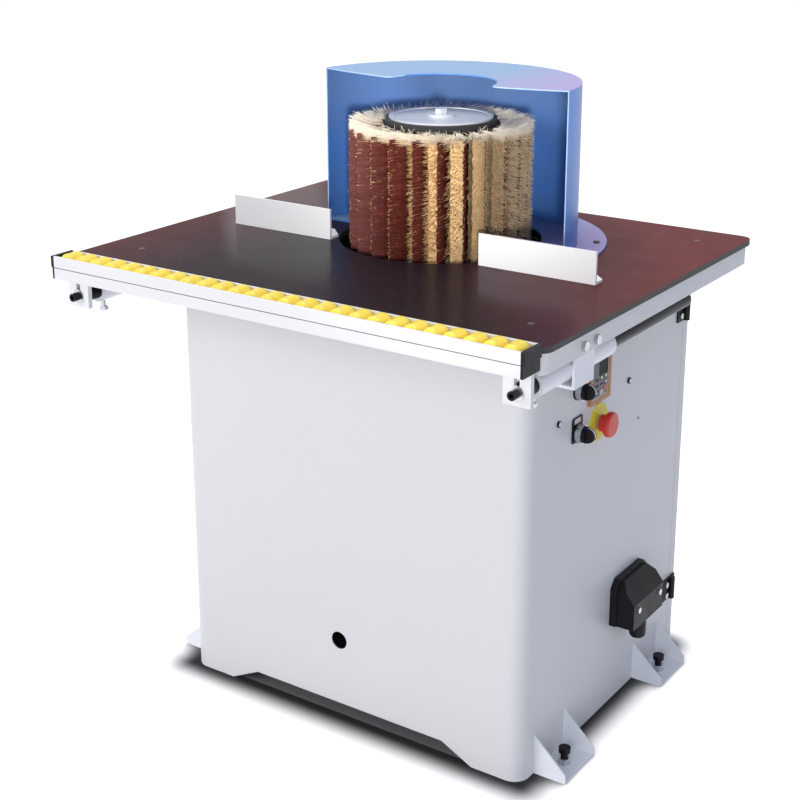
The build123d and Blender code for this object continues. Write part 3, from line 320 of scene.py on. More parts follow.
def vary(tree, shader, factor, colour, darker, lighter):
    """Lets a colour drift between a darker and a lighter share of itself."""
    feed(shader, "Base Color", blend_colours(tree, factor, shade(colour, darker), shade(colour, lighter)))


def dress(material, *names):
    """Gives whole pieces one finish."""
    for name in names:
        nodes[name].data.materials.clear()
        nodes[name].data.materials.append(material)


def dress_faces(name, material, chosen):
    """Gives the faces that pass a test a finish of their own; the test gets a face's middle and direction."""
    mesh = nodes[name].data
    mesh.materials.append(material)
    count = 0
    for face in mesh.polygons:
        if chosen(face.center, face.normal):
            face.material_index = len(mesh.materials) - 1
            count += 1
    return count


print("half of a mid grey is", shade((0.4, 0.4, 0.4), 0.5))

# %% Powder coat
def powder_skin(tree, shader, roughness, peel, uneven):
    """The uneven gloss and the fine orange peel of melted powder."""
    patches = noise(tree, 45.0, 4.0)
    feed(shader, "Roughness", between(tree, patches, roughness - uneven, roughness + uneven))
    raise_by(tree, shader, noise(tree, 650.0, 1.0), peel, 0.0004)


def powder_coat(name, colour, roughness=0.38, peel=0.10, uneven=0.04):
    """Paint with such a skin and a slight drift of colour."""
    paint, tree, shader = plain_finish(name, colour, roughness)
    vary(tree, shader, noise(tree, 3.0, 3.0), colour, 0.98, 1.015)
    powder_skin(tree, shader, roughness, peel, uneven)
    return paint


cabinet_paint = powder_coat("cabinet_paint", srgb(227, 227, 226))
fence_paint = powder_coat("fence_paint", srgb(240, 240, 239), 0.42)
tube_paint = powder_coat("tube_paint", srgb(252, 252, 254), 0.34)
# The brackets get a paler paint than the cabinet: painted light, standing in for the light that the cabinet
# keeps off their insides.
bracket_paint = powder_coat("bracket_paint", srgb(248, 249, 253), 0.42)
dress(cabinet_paint, "cabinet_shell", "table_frame", "rear_door")
dress(bracket_paint, "foot_brackets")
dress(fence_paint, "fences", "rail_end_plates")
dress(tube_paint, "guide_tubes")
print("painted:", [m.name for m in bpy.data.materials if m.name.endswith("paint")])

# %% [markdown]
# The hood is the one bright colour. Its blue is a shade glossier than the cabinet's grey, and the inside
# falls off into deep blue behind the brush. The cut edges of the sheet catch the light as fine light lines,
# and the faces there get a paler paint: a painted highlight. Faces that look up get a paler, greyer blue, a
# painted sheen, and a duller gloss, and towards the right they turn lilac, painted reddish light. High on
# the inside the blue is painted greyer, a painted sheen, and a little darker on the stretch behind the
# brush, painted shade. The hood came as one piece, so each face is given its paint by where it lies and
# which way it looks.

# %% Hood paint
# SHEEN_BLUE is a painted sheen: a paler, greyer blue for the pale room reflected on faces that look up.
HOOD_BLUE, SHEEN_BLUE = srgb(84, 134, 212), srgb(134, 164, 197)
hood_paint = powder_coat("hood_paint", HOOD_BLUE, 0.36, 0.05, 0.012)
# A paler paint for the cut edges: a painted highlight for the light they catch.
hood_edge_highlight = powder_coat("hood_edge_highlight", srgb(164, 196, 236), 0.40, 0.05, 0.02)
dress(hood_paint, "dust_hood")
hood_top_paint, tree, shader = plain_finish("hood_top_paint", SHEEN_BLUE, 0.50, 0.0, 0.30)
# Towards the right the top turns lilac: painted reddish light.
lilac = along(tree, (1, 0, 0), 0.03, 0.20)
feed(shader, "Base Color", blend_colours(tree, lilac, SHEEN_BLUE, srgb(167, 153, 199)))
powder_skin(tree, shader, 0.50, 0.05, 0.02)
topped = dress_faces("dust_hood", hood_top_paint, lambda middle, way: way.z > 0.9)
print("hood faces that look up:", topped)

# %% Hood inside and edges
BRUSH_Y = 0.085
HOOD_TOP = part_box("dust_hood")[1][2]
ROOF_SHEET, WALL_FOOT = 0.0022, 0.77
hood_inside, tree, shader = plain_finish("hood_inside_paint", HOOD_BLUE, 0.36)
# Painted light high on the inside: a greyer blue, a painted sheen, and a darker one behind the brush, painted
# shade that holds down the spotlight there.
from_left = along(tree, (1, 0, 0), -0.185, -0.14)
from_right = along(tree, (-1, 0, 0), -0.09, 0.03)
behind_brush = combine(tree, "MULTIPLY", from_left, from_right)
sheen_and_shade_blue = blend_colours(tree, behind_brush, srgb(102, 138, 194), srgb(82, 113, 160))
high_up = along(tree, (0, 0, 1), 0.88, 0.965)
feed(shader, "Base Color", blend_colours(tree, high_up, HOOD_BLUE, sheen_and_shade_blue))
powder_skin(tree, shader, 0.36, 0.05, 0.01)


def on_hood_inside(middle, way):
    """The hollow side of the curved wall, which looks towards the brush's axis."""
    return abs(way.z) < 0.5 and middle.x * way.x + (middle.y - BRUSH_Y) * way.y < -0.1


def on_hood_edge(middle, way):
    """The roof's rim and the two upright ends of the curved wall."""
    on_roof = middle.z > HOOD_TOP - ROOF_SHEET and abs(way.z) < 0.5 and middle.y < BRUSH_Y + 0.001
    on_end = way.y < -0.95 and abs(middle.y - BRUSH_Y) < 0.0005 and middle.z > WALL_FOOT
    return on_roof or on_end


print("hood faces that look at the brush:", dress_faces("dust_hood", hood_inside, on_hood_inside))
print("hood faces on a cut edge:", dress_faces("dust_hood", hood_edge_highlight, on_hood_edge))

# %% [markdown]
# ## The table's dark film
#
# The table is plywood faced with a hard brown film, as shuttering boards are. Its colour runs from nearly
# black at the front to reddish towards the back right and the far left: painted light, standing in for
# the reddish light and the reflections that fall on the film there. It is polished most where the work
# slides, in front of the left fence and the brush, and there it mirrors them faintly. A thin clear coat
# gives that, with its weight drawn in bands across the table, over a base whose colour changes along a
# diagonal and has a few specks of dust. The edge is sealed with grey paint, so the faces round the rim get
# a finish of their own.

# %% Film
table_film, tree, shader = plain_finish("table_film", srgb(44, 30, 31), 0.46, 0.0, 0.03)
# Painted light: the base runs from nearly black in front to reddish at the back right and the far left, for
# the reddish light and reflections there.
redder = along(tree, (0.8, 0.6, 0.0), 0.05, 0.42)
base = blend_colours(tree, redder, srgb(34, 26, 32), srgb(110, 44, 45))
base = blend_colours(tree, along(tree, (-1, 0, 0), 0.20, 0.46), base, srgb(86, 38, 42))
drift = between(tree, noise(tree, 2.2, 4.0), 0.0, 0.25)
base = blend_colours(tree, drift, base, srgb(30, 22, 26))
specks = between(tree, noise(tree, 330.0, 0.0), 0.0, 0.45, 0.80, 0.84)
feed(shader, "Base Color", blend_colours(tree, specks, base, srgb(150, 145, 142)))
feed(shader, "Roughness", between(tree, noise(tree, 18.0, 4.0), 0.43, 0.50))
raise_by(tree, shader, noise(tree, 900.0, 1.0), 0.04, 0.0003)
print("film base:", len(tree.nodes), "nodes")

# %% Where the film is polished
ACROSS = (0.755, 0.656, 0.0)
FENCE_COAT, BRUSH_COAT, PLAIN_COAT = 0.30, 0.10, 0.06
near_fence = combine(tree, "MULTIPLY", along(tree, ACROSS, -0.305, -0.280),
                     along(tree, (0, 1, 0), -0.27, -0.09))
near_brush = along(tree, ACROSS, -0.130, -0.100)
before_brush = combine(tree, "SUBTRACT", 1.0, near_brush)
before_end = combine(tree, "SUBTRACT", 1.0, along(tree, ACROSS, 0.10, 0.28))
fence_share = combine(tree, "MULTIPLY", near_fence, before_brush)
brush_share = combine(tree, "MULTIPLY", near_brush, before_end)
polish = combine(tree, "ADD", combine(tree, "MULTIPLY", fence_share, FENCE_COAT),
                 combine(tree, "MULTIPLY", brush_share, BRUSH_COAT))
feed(shader, "Coat Weight", combine(tree, "ADD", polish, PLAIN_COAT))
shader.inputs["Coat Roughness"].default_value = 0.16
print("coat from", PLAIN_COAT, "to", round(PLAIN_COAT + FENCE_COAT, 2))

# %% Sealed edge
sealed_edge, tree, shader = plain_finish("sealed_edge", srgb(44, 44, 46), 0.6)
fibres = noise(tree, 60.0, 4.0, (1, 1, 14))
feed(shader, "Base Color", blend_colours(tree, fibres, srgb(36, 36, 38), srgb(56, 56, 57)))
raise_by(tree, shader, fibres, 0.2, 0.0004)

dress(table_film, "table_top")
print("table faces on the edge:", dress_faces("table_top", sealed_edge, lambda middle, way: way.z < 0.5))

# %% [markdown]
# ## Metals
#
# Bolts and nuts are zinc plated, a soft grey with a faint mottle. The rods and levelling screws are
# blackened. The clamp disc was turned on a lathe, so its shine runs in rings: the noise is read by distance
# from the brush's axis. The disc has a dull lacquer, so it is only partly metallic, and stays bright under
# the dark inside of the hood.

# %% Zinc and black steel
def worn_metal(name, colour, roughness, mottle=40.0, stretch=(1, 1, 1)):
    """Metal whose brightness and gloss vary a little from place to place."""
    metal, tree, shader = plain_finish(name, colour, roughness, 1.0)
    cloud = noise(tree, mottle, 5.0, stretch)
    vary(tree, shader, cloud, colour, 0.82, 1.12)
    feed(shader, "Roughness", between(tree, cloud, roughness + 0.08, roughness - 0.06))
    raise_by(tree, shader, noise(tree, 12 * mottle, 2.0, stretch), 0.08, 0.0003)
    return metal


zinc = worn_metal("zinc_plate", srgb(200, 202, 206), 0.26, 90.0)
black_steel = worn_metal("blackened_steel", srgb(40, 40, 43), 0.40, 70.0, (1, 0.15, 1))
dress(zinc, "zinc_fasteners")
dress(black_steel, "support_rods", "levelling_screws")
print("zinc on", len(nodes["zinc_fasteners"].data.polygons), "faces of nuts, bolts and screws")

# %% Turned steel
LATHE_RINGS = 900.0


def axis_distance(tree, x):
    """How far a point is from an upright axis, in metres."""
    flat = vector(tree, "MULTIPLY", place_of(tree), (1, 1, 0))
    return vector(tree, "LENGTH", vector(tree, "SUBTRACT", flat, (x, BRUSH_Y, 0)))


def turned_metal(name, colour, roughness, x=0.0, metallic=1.0):
    """Metal with the fine rings that a lathe leaves round an upright axis."""
    metal, tree, shader = plain_finish(name, colour, roughness, metallic)
    rings = node(tree, "ShaderNodeTexNoise", noise_dimensions="1D", W=axis_distance(tree, x),
                 Scale=LATHE_RINGS, Detail=2.0).outputs["Fac"]
    vary(tree, shader, rings, colour, 0.88, 1.06)
    feed(shader, "Roughness", between(tree, rings, roughness - 0.05, roughness + 0.10))
    raise_by(tree, shader, rings, 0.15, 0.0003)
    return metal


disc_steel = turned_metal("disc_steel", srgb(202, 206, 213), 0.36, 0.0, 0.30)
inner_steel = turned_metal("machined_steel", srgb(150, 150, 154), 0.36)
motor_steel = turned_metal("motor_steel", srgb(150, 150, 154), 0.36, -0.195)
core_aluminium = turned_metal("core_aluminium", srgb(62, 58, 54), 0.55)
dress(disc_steel, "clamp_disc")
dress(inner_steel, "spindle")
dress(motor_steel, "motor_shaft")
dress(core_aluminium, "brush_core")
print("turned pieces: clamp disc, spindle, motor shaft, core")

# %% [markdown]
# The roller rail is an aluminium extrusion, anodised almost white. Extrusion drags faint lines along its
# length, so here the noise is drawn out along X. The faces of the narrow groove in its front are painted
# grey: painted shade for the recess.

# %% Rail
RAIL_WHITE = srgb(236, 236, 235)
rail_aluminium, tree, shader = plain_finish("rail_aluminium", RAIL_WHITE, 0.36)
drag = noise(tree, 500.0, 2.0, (0.004, 1, 1))
vary(tree, shader, drag, RAIL_WHITE, 0.97, 1.02)
feed(shader, "Roughness", between(tree, drag, 0.30, 0.42))
raise_by(tree, shader, drag, 0.06, 0.0003)
dress(rail_aluminium, "rail_profile")
# groove_shade is painted shade: the groove's faces are painted grey where the recess is in shade.
groove_shade = worn_metal("groove_shade", srgb(120, 121, 124), 0.6, 60.0)
rail_low, rail_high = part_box("rail_profile")
groove_z = (rail_low[2] + rail_high[2]) / 2
GROOVE_START, GROOVE_END, GROOVE_HALF = 0.0003, 0.002, 0.0008


def in_groove(middle, way):
    """Just behind the rail's front face, at half its height."""
    depth = middle.y - rail_low[1]
    return GROOVE_START < depth < GROOVE_END and abs(middle.z - groove_z) < GROOVE_HALF


grooved = dress_faces("rail_profile", groove_shade, in_groove)
print("rail", round(rail_high[0] * 2, 3), "m long, faces in its groove:", grooved)

# %% [markdown]
# ## Plastics and rubber
#
# Moulded plastic has a spark-eroded skin: a fine even grain that blurs its shine. The wheels are smoother
# and let a little light in, which keeps their shaded sides warm. Rubber is rougher and slightly dusty.

# %% Moulded pieces
def moulded(name, colour, roughness, grain=1400.0, relief=0.12, light_in=0.0, gloss=0.5):
    """Plastic with a fine moulded grain; light_in lets light spread below the surface."""
    plastic, tree, shader = plain_finish(name, colour, roughness, 0.0, gloss)
    shader.inputs["Subsurface Weight"].default_value = light_in
    shader.inputs["Subsurface Scale"].default_value = 0.004
    cloud = noise(tree, 25.0, 4.0)
    vary(tree, shader, cloud, colour, 0.90, 1.06)
    feed(shader, "Roughness", between(tree, cloud, roughness - 0.06, roughness + 0.08))
    raise_by(tree, shader, noise(tree, grain, 1.0), relief, 0.0003)
    return plastic


black_plastic = moulded("black_plastic", srgb(22, 20, 26), 0.46, 1400.0, 0.12, 0.0, 0.22)
wheel_plastic = moulded("wheel_plastic", srgb(255, 222, 78), 0.36, 300.0, 0.05, 0.15)
stop_red = moulded("stop_red", srgb(226, 54, 46), 0.36, 300.0, 0.05, 0.1)
ring_rubber = moulded("ring_rubber", srgb(38, 40, 41), 0.62, 500.0, 0.3)
belt_rubber = moulded("belt_rubber", srgb(34, 34, 35), 0.7, 500.0, 0.4)
dress(black_plastic, "inlet_box", "door_hinges", "door_latch", "rail_end_caps")
dress(black_plastic, "upper_selector_knob", "lower_selector_knob")
wheels = [name for name in nodes if name.startswith("rail_wheel")]
dress(wheel_plastic, *wheels)
dress(stop_red, "stop_button")
dress(ring_rubber, "rubber_ring")
dress(belt_rubber, "drive_belt")
print("wheels:", len(wheels))

# %% [markdown]
# Behind the door the drive isn't painted for show: a cast housing, a grey-blue motor and a rolled steel
# shelf. They show only when the door is open, but they get real finishes all the same.

# %% Drive finishes
def rough_casting(name, colour, roughness, metallic):
    """A sand-cast or rolled skin: coarse grain and patchy tone."""
    skin, tree, shader = plain_finish(name, colour, roughness, metallic)
    vary(tree, shader, noise(tree, 30.0, 6.0), colour, 0.75, 1.15)
    raise_by(tree, shader, noise(tree, 380.0, 3.0), 0.35, 0.0006)
    return skin


dress(rough_casting("cast_housing", srgb(84, 86, 88), 0.55, 0.6), "spindle_housing")
dress(rough_casting("motor_enamel", srgb(96, 108, 122), 0.45, 0.0), "motor_housing")
dress(worn_metal("rolled_shelf", srgb(150, 152, 155), 0.45, 25.0), "drive_shelf")
print("drive pieces dressed")

# %% [markdown]
# ## The brush
#
# The brush is the heart of the machine. Each of its 24 strips is a maroon sanding cloth, cut into narrow
# fingers so that it can follow a moulding, with a row of straw-coloured bristles behind it that presses the
# cloth on the work. The strips lean back, so one side of the brush shows broad maroon faces and the other
# shows bristles.
#
# A particle system could grow the bristles, but plain geometry travels to any other program. So each finger
# and each bristle is a small prism, worked out with arrays of numbers, and all draw on one run of
# repeatable random numbers.

# %% Brush sizes
STRIPS = 24
STRIP_START = math.radians(6.3)
BRUSH_LOW, BRUSH_HIGH = 0.745, 0.945
CORE, RIM = 0.0935, 0.1488
random = np.random.default_rng(7)
turns = STRIP_START + 2 * math.pi * np.arange(STRIPS) / STRIPS
FACING = 302.7
from_facing = (FACING - np.degrees(turns) + 180) % 360 - 180


def round_axis(radial, sideways, height, turn):
    """Points given by their strip's own directions, turned to that strip's place round the brush."""
    x = radial * np.cos(turn) - sideways * np.sin(turn)
    y = radial * np.sin(turn) + sideways * np.cos(turn)
    return np.stack([x, y + BRUSH_Y, height + 0 * x], axis=-1)


def band(first, second, count):
    """The faces between two rings of points, by the numbers of their first points."""
    steps = [(k, (k + 1) % count) for k in range(count)]
    return [(first + k, first + after, second + after, second + k) for k, after in steps]


def new_piece(name, points, faces, material, body):
    """A new mesh with its finish, which moves with a body of the machine."""
    mesh = bpy.data.meshes.new(name)
    mesh.from_pydata(points, [], faces)
    mesh.materials.append(material)
    mesh.validate()
    piece = bpy.data.objects.new(name, mesh)
    scene.collection.objects.link(piece)
    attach(piece, body)
    return piece


def brush_piece(name, points, faces, material):
    """Such a piece from an array of points, turning with the brush."""
    return new_piece(name, points.reshape(-1, 3).tolist(), faces, material, "brush")


print("strip pitch at the rim", round(2000 * math.pi * RIM / STRIPS, 1), "mm")

# %% [markdown]
# The cloth is aluminium-oxide grit on a woven back. The grit is a dense speckle over maroon, and the
# fingers have slightly different tones where they have rubbed on wood. Random Per Island gives each finger
# its own tone, because every finger is an island of faces. Short pale dashes are threads of the woven back
# that show at a slit, and the flaps on the left turn a little paler and pinker.

# %% Sanding cloth
cloth, tree, shader = plain_finish("sanding_cloth", srgb(88, 32, 28), 0.72, 0.0, 0.2)
finger = node(tree, "ShaderNodeNewGeometry")
tone = blend_colours(tree, finger.outputs["Random Per Island"], srgb(78, 26, 22), srgb(100, 40, 34))
grit = between(tree, noise(tree, 1500.0, 2.0), 0.0, 1.0, 0.45, 0.72)
worn = between(tree, noise(tree, 35.0, 3.0, (1, 1, 5)), 0.0, 0.35, 0.5, 0.75)
threads = between(tree, noise(tree, 420.0, 1.0, (0.35, 0.35, 2.2)), 0.0, 0.7, 0.71, 0.76)
tone = blend_colours(tree, grit, tone, srgb(104, 48, 42))
tone = blend_colours(tree, worn, tone, srgb(130, 74, 66))
# Towards the left the flaps turn a little paler and pinker.
TO_LEFT = (-0.841, -0.540, 0.0)
side_tint = combine(tree, "MULTIPLY", along(tree, TO_LEFT, 0.035, 0.085), 0.08)
tone = blend_colours(tree, side_tint, tone, srgb(226, 172, 170))
feed(shader, "Base Color", blend_colours(tree, threads, tone, srgb(206, 160, 142)))
raise_by(tree, shader, noise(tree, 1500.0, 2.0), 0.5, 0.0004)
print("cloth tones: maroon, grit, worn, dust and thread")

# %% Cut the cloth into fingers
FINGERS = 70
STEPS = 6
CLOTH_HIGH = BRUSH_HIGH - 0.005
SLIT, HALF_SHEET = 0.0004, 0.00045
BEND_START, ROOT_SIDE, TIP_SIDE = 0.101, 0.003, -0.0126
count = STRIPS * FINGERS
finger_low = BRUSH_LOW + (CLOTH_HIGH - BRUSH_LOW) * np.arange(FINGERS) / FINGERS
finger_tall = (CLOTH_HIGH - BRUSH_LOW) / FINGERS - SLIT
tip_side = TIP_SIDE + np.repeat(random.normal(0, 0.0012, STRIPS), FINGERS) + random.normal(0, 0.0006, count)
tip_side += np.where(random.random(count) < 0.012, random.normal(0, 0.003, count), 0)
tip_far = RIM + random.normal(0, 0.0005, count) - np.where(random.random(count) < 0.008, 0.003, 0)
tip_far -= np.repeat(np.interp(from_facing, [-150, -110, -30, -12], [0, 0.0045, 0.0045, 0]), FINGERS)
reach = np.sqrt(tip_far ** 2 - tip_side ** 2) - BEND_START
bend = 2 * np.arctan((ROOT_SIDE - tip_side) / reach)


def flap_path(bend, reach):
    """A finger's line from the core outwards: straight, then curving back; with the direction across it."""
    share = np.linspace(0, 1, STEPS)
    angle = bend[:, None] * share
    curve = reach[:, None] / np.sin(bend[:, None])
    radial = BEND_START + curve * np.sin(angle)
    sideways = ROOT_SIDE - curve * (1 - np.cos(angle))
    radial = np.concatenate([np.full((len(bend), 1), CORE), radial], axis=1)
    sideways = np.concatenate([np.full((len(bend), 1), ROOT_SIDE), sideways], axis=1)
    angle = np.concatenate([np.zeros((len(bend), 1)), angle], axis=1)
    return radial, sideways, angle


radial, sideways, angle = flap_path(bend, reach)
corners = []
for side, edge in ((1, 0), (1, 1), (-1, 1), (-1, 0)):
    r = radial + side * HALF_SHEET * np.sin(angle)
    s = sideways + side * HALF_SHEET * np.cos(angle)
    z = (np.tile(finger_low, STRIPS) + edge * finger_tall)[:, None]
    corners.append(round_axis(r, s, z, np.repeat(turns, FINGERS)[:, None]))
finger_points = np.stack(corners, axis=2)
print("fingers:", count)

# %% Join the fingers into one piece
rings = STEPS + 1
finger_faces = []
for number in range(count):
    start = number * rings * 4
    tip = start + (rings - 1) * 4
    for a in range(start, tip, 4):
        finger_faces += band(a, a + 4, 4)
    finger_faces.append((tip, tip + 1, tip + 2, tip + 3))
flaps = brush_piece("sanding_cloth_flaps", finger_points, finger_faces, cloth)
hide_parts("sanding_flaps")
print("flap faces:", len(finger_faces))

# %% [markdown]
# The bristles are plant fibre: straw where they are packed together, cream at their tips on top, a painted
# highlight, and greyer on the right-hand side, painted shade. They start as a narrow row at the core and
# spread towards the rim. Most of the inner mass can't be seen, so a solid bed with a combed, streaky finish
# fills each row, and the separate bristles are spent on its surface. The bed's dark streaks are painted
# shade between the packed fibres, and where the rows lie open on the right the bed is lighter: painted
# light for the lit sheets of bristle there.

# %% Bristle finish
def fibre_tones(tree, tone, side_colour, cream, cream_low, cream_high):
    """Straw that turns cream towards the upper end, a painted highlight, and greyer on the right, painted
    shade.
    """
    side_tint = along(tree, (1, 0, 0), 0.075, 0.150)
    tone = blend_colours(tree, between(tree, side_tint, 0.0, 0.55, 0.0, 1.0), tone, side_colour)
    on_top = along(tree, (0, 0, 1), cream_low, cream_high)
    return blend_colours(tree, between(tree, on_top, 0.0, 0.85, 0.0, 1.0), tone, cream)


bristle, tree, shader = plain_finish("bristle_fibre", srgb(226, 192, 134), 0.6, 0.0, 0.3)
strand = node(tree, "ShaderNodeNewGeometry")
tone = blend_colours(tree, strand.outputs["Random Per Island"], srgb(206, 160, 96), srgb(250, 226, 174))
# Painted light on the strands: cream on top is a painted highlight, and the greyer right-hand side is painted
# shade.
tone = fibre_tones(tree, tone, srgb(222, 216, 202), srgb(255, 249, 236), 0.930, 0.942)
feed(shader, "Base Color", tone)

bed, tree, shader = plain_finish("bristle_bed", srgb(180, 142, 88), 0.8, 0.0, 0.2)
combed = noise(tree, 700.0, 3.0, (1, 1, 1.4))
# The combed streaks run from dark brown to straw: the dark is painted shade between the packed fibres.
tone = blend_colours(tree, combed, srgb(58, 38, 18), srgb(178, 138, 84))
# Where the rows lie open on the right the bed is lighter: painted light for the lit sheets of bristle.
opened, closed = along(tree, (1, 0, 0), 0.015, 0.050), along(tree, (1, 0, 0), 0.100, 0.130)
open_rows = combine(tree, "SUBTRACT", opened, closed)
sheets = blend_colours(tree, combed, srgb(190, 150, 96), srgb(250, 222, 172))
tone = blend_colours(tree, open_rows, tone, sheets)
# The same painted highlight and painted shade on the bed, in its darker tones.
tone = fibre_tones(tree, tone, srgb(116, 106, 90), srgb(150, 126, 92), 0.937, 0.942)
feed(shader, "Base Color", tone)
raise_by(tree, shader, combed, 0.6, 0.0015)
print("bristle finishes: strand and bed")

# %% [markdown]
# Not all rows are open alike. Where the cloth was last pressed against the work, to the machine's left,
# each row is flattened to a thin line behind its flap. Towards the right the rows have sprung open again,
# and the bristles show almost from flap to flap. The width of each row is therefore read from a short
# table, by the strip's place round the brush.

# %% Width of each row
row_wide = np.interp(from_facing, [-180, -120, -60, -18, -4, 11, 26, 41, 110, 150, 180],
                     [0.014, 0.022, 0.025, 0.024, 0.022, 0.010, 0.0055, 0.004, 0.004, 0.008, 0.014])
print("rows from", round(1000 * row_wide.min(), 1), "to", round(1000 * row_wide.max(), 1), "mm wide")

# %% Bed of each bristle row
BED_STEPS = 40
bed_levels = np.linspace(BRUSH_LOW + 0.001, BRUSH_HIGH - 0.004, BED_STEPS)


def row_outline(wide):
    """A row seen from above: along its flap from the core to the rim, and back along its far side."""
    near = [(0.0925, -0.0005), (0.118, -0.0015), (0.130, -0.0045), (0.1385, -0.0085)]
    far = [(0.1375 - 0.25 * wide, -0.0095 - 0.80 * wide), (0.122, -0.0065 - 0.68 * wide),
           (0.107, -0.0050 - 0.45 * wide), (0.0925, -0.0035 - 0.28 * wide)]
    return np.array(near + far)


corner_count = len(row_outline(0.01))
bed_points = np.zeros((STRIPS, BED_STEPS, corner_count, 3))
for strip in range(STRIPS):
    ripple = random.normal(0, 0.0007, (BED_STEPS, corner_count, 2))
    shape = row_outline(row_wide[strip])[None] + ripple
    bed_points[strip] = round_axis(shape[..., 0], shape[..., 1], bed_levels[:, None], turns[strip])
print("bed corners:", bed_points.size // 3)

# %% Join the beds
bed_faces = []
for strip in range(STRIPS):
    first = strip * BED_STEPS * corner_count
    last = first + (BED_STEPS - 1) * corner_count
    for a in range(first, last, corner_count):
        bed_faces += band(a, a + corner_count, corner_count)
    bed_faces.append(tuple(first + k for k in reversed(range(corner_count))))
    bed_faces.append(tuple(last + k for k in range(corner_count)))
brush_piece("bristle_bed", bed_points, bed_faces, bed)
print("bed faces:", len(bed_faces))

# %% [markdown]
# One bristle is a three-sided prism with a bend in the middle. Its root lies across the row's narrow inner
# edge, its tip across the wide outer edge, and both stray a little, so the row looks like a hedge, not a
# comb.

# %% Grow the bristles
def prisms(roots, bends, tips, thick, fine):
    """Three-sided bristles through three rows of points, as an array of corners."""
    line = np.stack([roots, bends, tips], axis=1)
    ahead = tips - roots
    ahead /= np.linalg.norm(ahead, axis=1, keepdims=True)
    up = np.cross(ahead, np.array([0.31, 0.12, 0.94]))
    up /= np.linalg.norm(up, axis=1, keepdims=True)
    over = np.cross(ahead, up)
    spread = np.stack([thick, 0.9 * thick, fine], axis=1)
    corners = []
    for third in range(3):
        swing = 2 * math.pi * third / 3
        way = math.cos(swing) * up + math.sin(swing) * over
        corners.append(line + way[:, None, :] * spread[:, :, None])
    return np.stack(corners, axis=2)


def prism_faces(count):
    """The sides and tips of that many bristles."""
    faces = []
    for a in range(0, 9 * count, 9):
        faces += band(a, a + 3, 3) + band(a + 3, a + 6, 3)
        faces.append((a + 6, a + 7, a + 8))
    return faces


def row_bristles(counts, widths, low, high, stray, rise=0.0, fine=1.0):
    """Bristles over every row between two heights: how many, and how wide, by strip; how far they rise."""
    turn = np.repeat(turns, counts)
    wide = np.repeat(widths, counts)
    total = len(turn)
    across = random.random(total)
    height = low + (high - low) * random.random(total)
    root_side = -0.0010 - (0.0020 + 0.30 * wide) * across
    tip_side = -0.0140 - wide * across + random.normal(0, stray * (0.3 + 40 * wide), total)
    tip_far = 0.1486 - 0.0035 * across - 0.10 * wide * across + random.normal(0, 0.0012, total)
    tip_out = np.sqrt(np.clip(tip_far ** 2 - tip_side ** 2, 0, None))
    tip_height = height + rise + random.normal(0, 1.4 * stray, total)
    roots = round_axis(np.full(total, CORE), root_side, height, turn)
    bend_side = 0.50 * root_side + 0.50 * tip_side + 0.0030
    bends = round_axis(0.45 * CORE + 0.55 * tip_out, bend_side, 0.5 * (height + tip_height), turn)
    tips = round_axis(tip_out, tip_side, tip_height, turn)
    thick = fine * random.uniform(0.0004, 0.0007, total)
    return prisms(roots, bends, tips, thick, 0.55 * thick)


row_counts = (160 + 34000 * row_wide).astype(int)
rows = row_bristles(row_counts, row_wide, BRUSH_LOW + 0.002, BRUSH_HIGH - 0.001, 0.0020)
crown_counts = np.full(STRIPS, 300)
crown_wide = np.maximum(row_wide, 0.032)
crown = row_bristles(crown_counts, crown_wide, BRUSH_HIGH - 0.018, BRUSH_HIGH - 0.006, 0.0028, 0.009, 0.6)
bristle_points = np.concatenate([rows, crown])
print("bristles:", len(bristle_points))

# %% Join the bristles
bristle_faces = prism_faces(len(bristle_points))
bristles = brush_piece("bristle_rows", bristle_points, bristle_faces, bristle)
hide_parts("bristle_strips")
print("bristle faces:", len(bristles.data.polygons))

# %% [markdown]
# A used brush sheds. Loose hairs stand out from the top edge and from between the flaps. They are the same
# prisms, shorter and thinner, and they end inside the table's hole with room to spare.

# %% Loose hairs
hair_count = 230
turn = random.uniform(0, 2 * math.pi, hair_count)
on_top = random.random(hair_count) < 0.85
height = np.where(on_top, BRUSH_HIGH - 0.002, random.uniform(BRUSH_LOW + 0.01, BRUSH_HIGH, hair_count))
out = np.where(on_top, random.uniform(0.100, 0.148, hair_count), 0.146)
lift = np.where(on_top, random.uniform(0.003, 0.013, hair_count), random.normal(0, 0.003, hair_count))
reach = np.where(on_top, random.uniform(-0.004, 0.006, hair_count), random.uniform(0.001, 0.005, hair_count))
drift = random.normal(0, 0.005, hair_count)
roots = round_axis(out, 0 * out, height, turn)
tips = round_axis(out + reach, drift, height + lift, turn)
bends = round_axis(out + 0.5 * reach, 0.3 * drift, height + 0.6 * lift, turn)
hair_points = prisms(roots, bends, tips, np.full(hair_count, 0.0003), np.full(hair_count, 0.00015))
brush_piece("loose_hairs", hair_points, prism_faces(hair_count), bristle)
print("loose hairs:", hair_count)

# %% [markdown]
# ## Controls
#
# On the right wall sit an inverter with a film keypad, two selector switches and a stop button. The switch
# rings, the stop button's yellow plate and the black legend plate came as one piece, so each face is given
# its finish by where it lies on the wall. The rings are chromed and lightly ribbed along their axis.

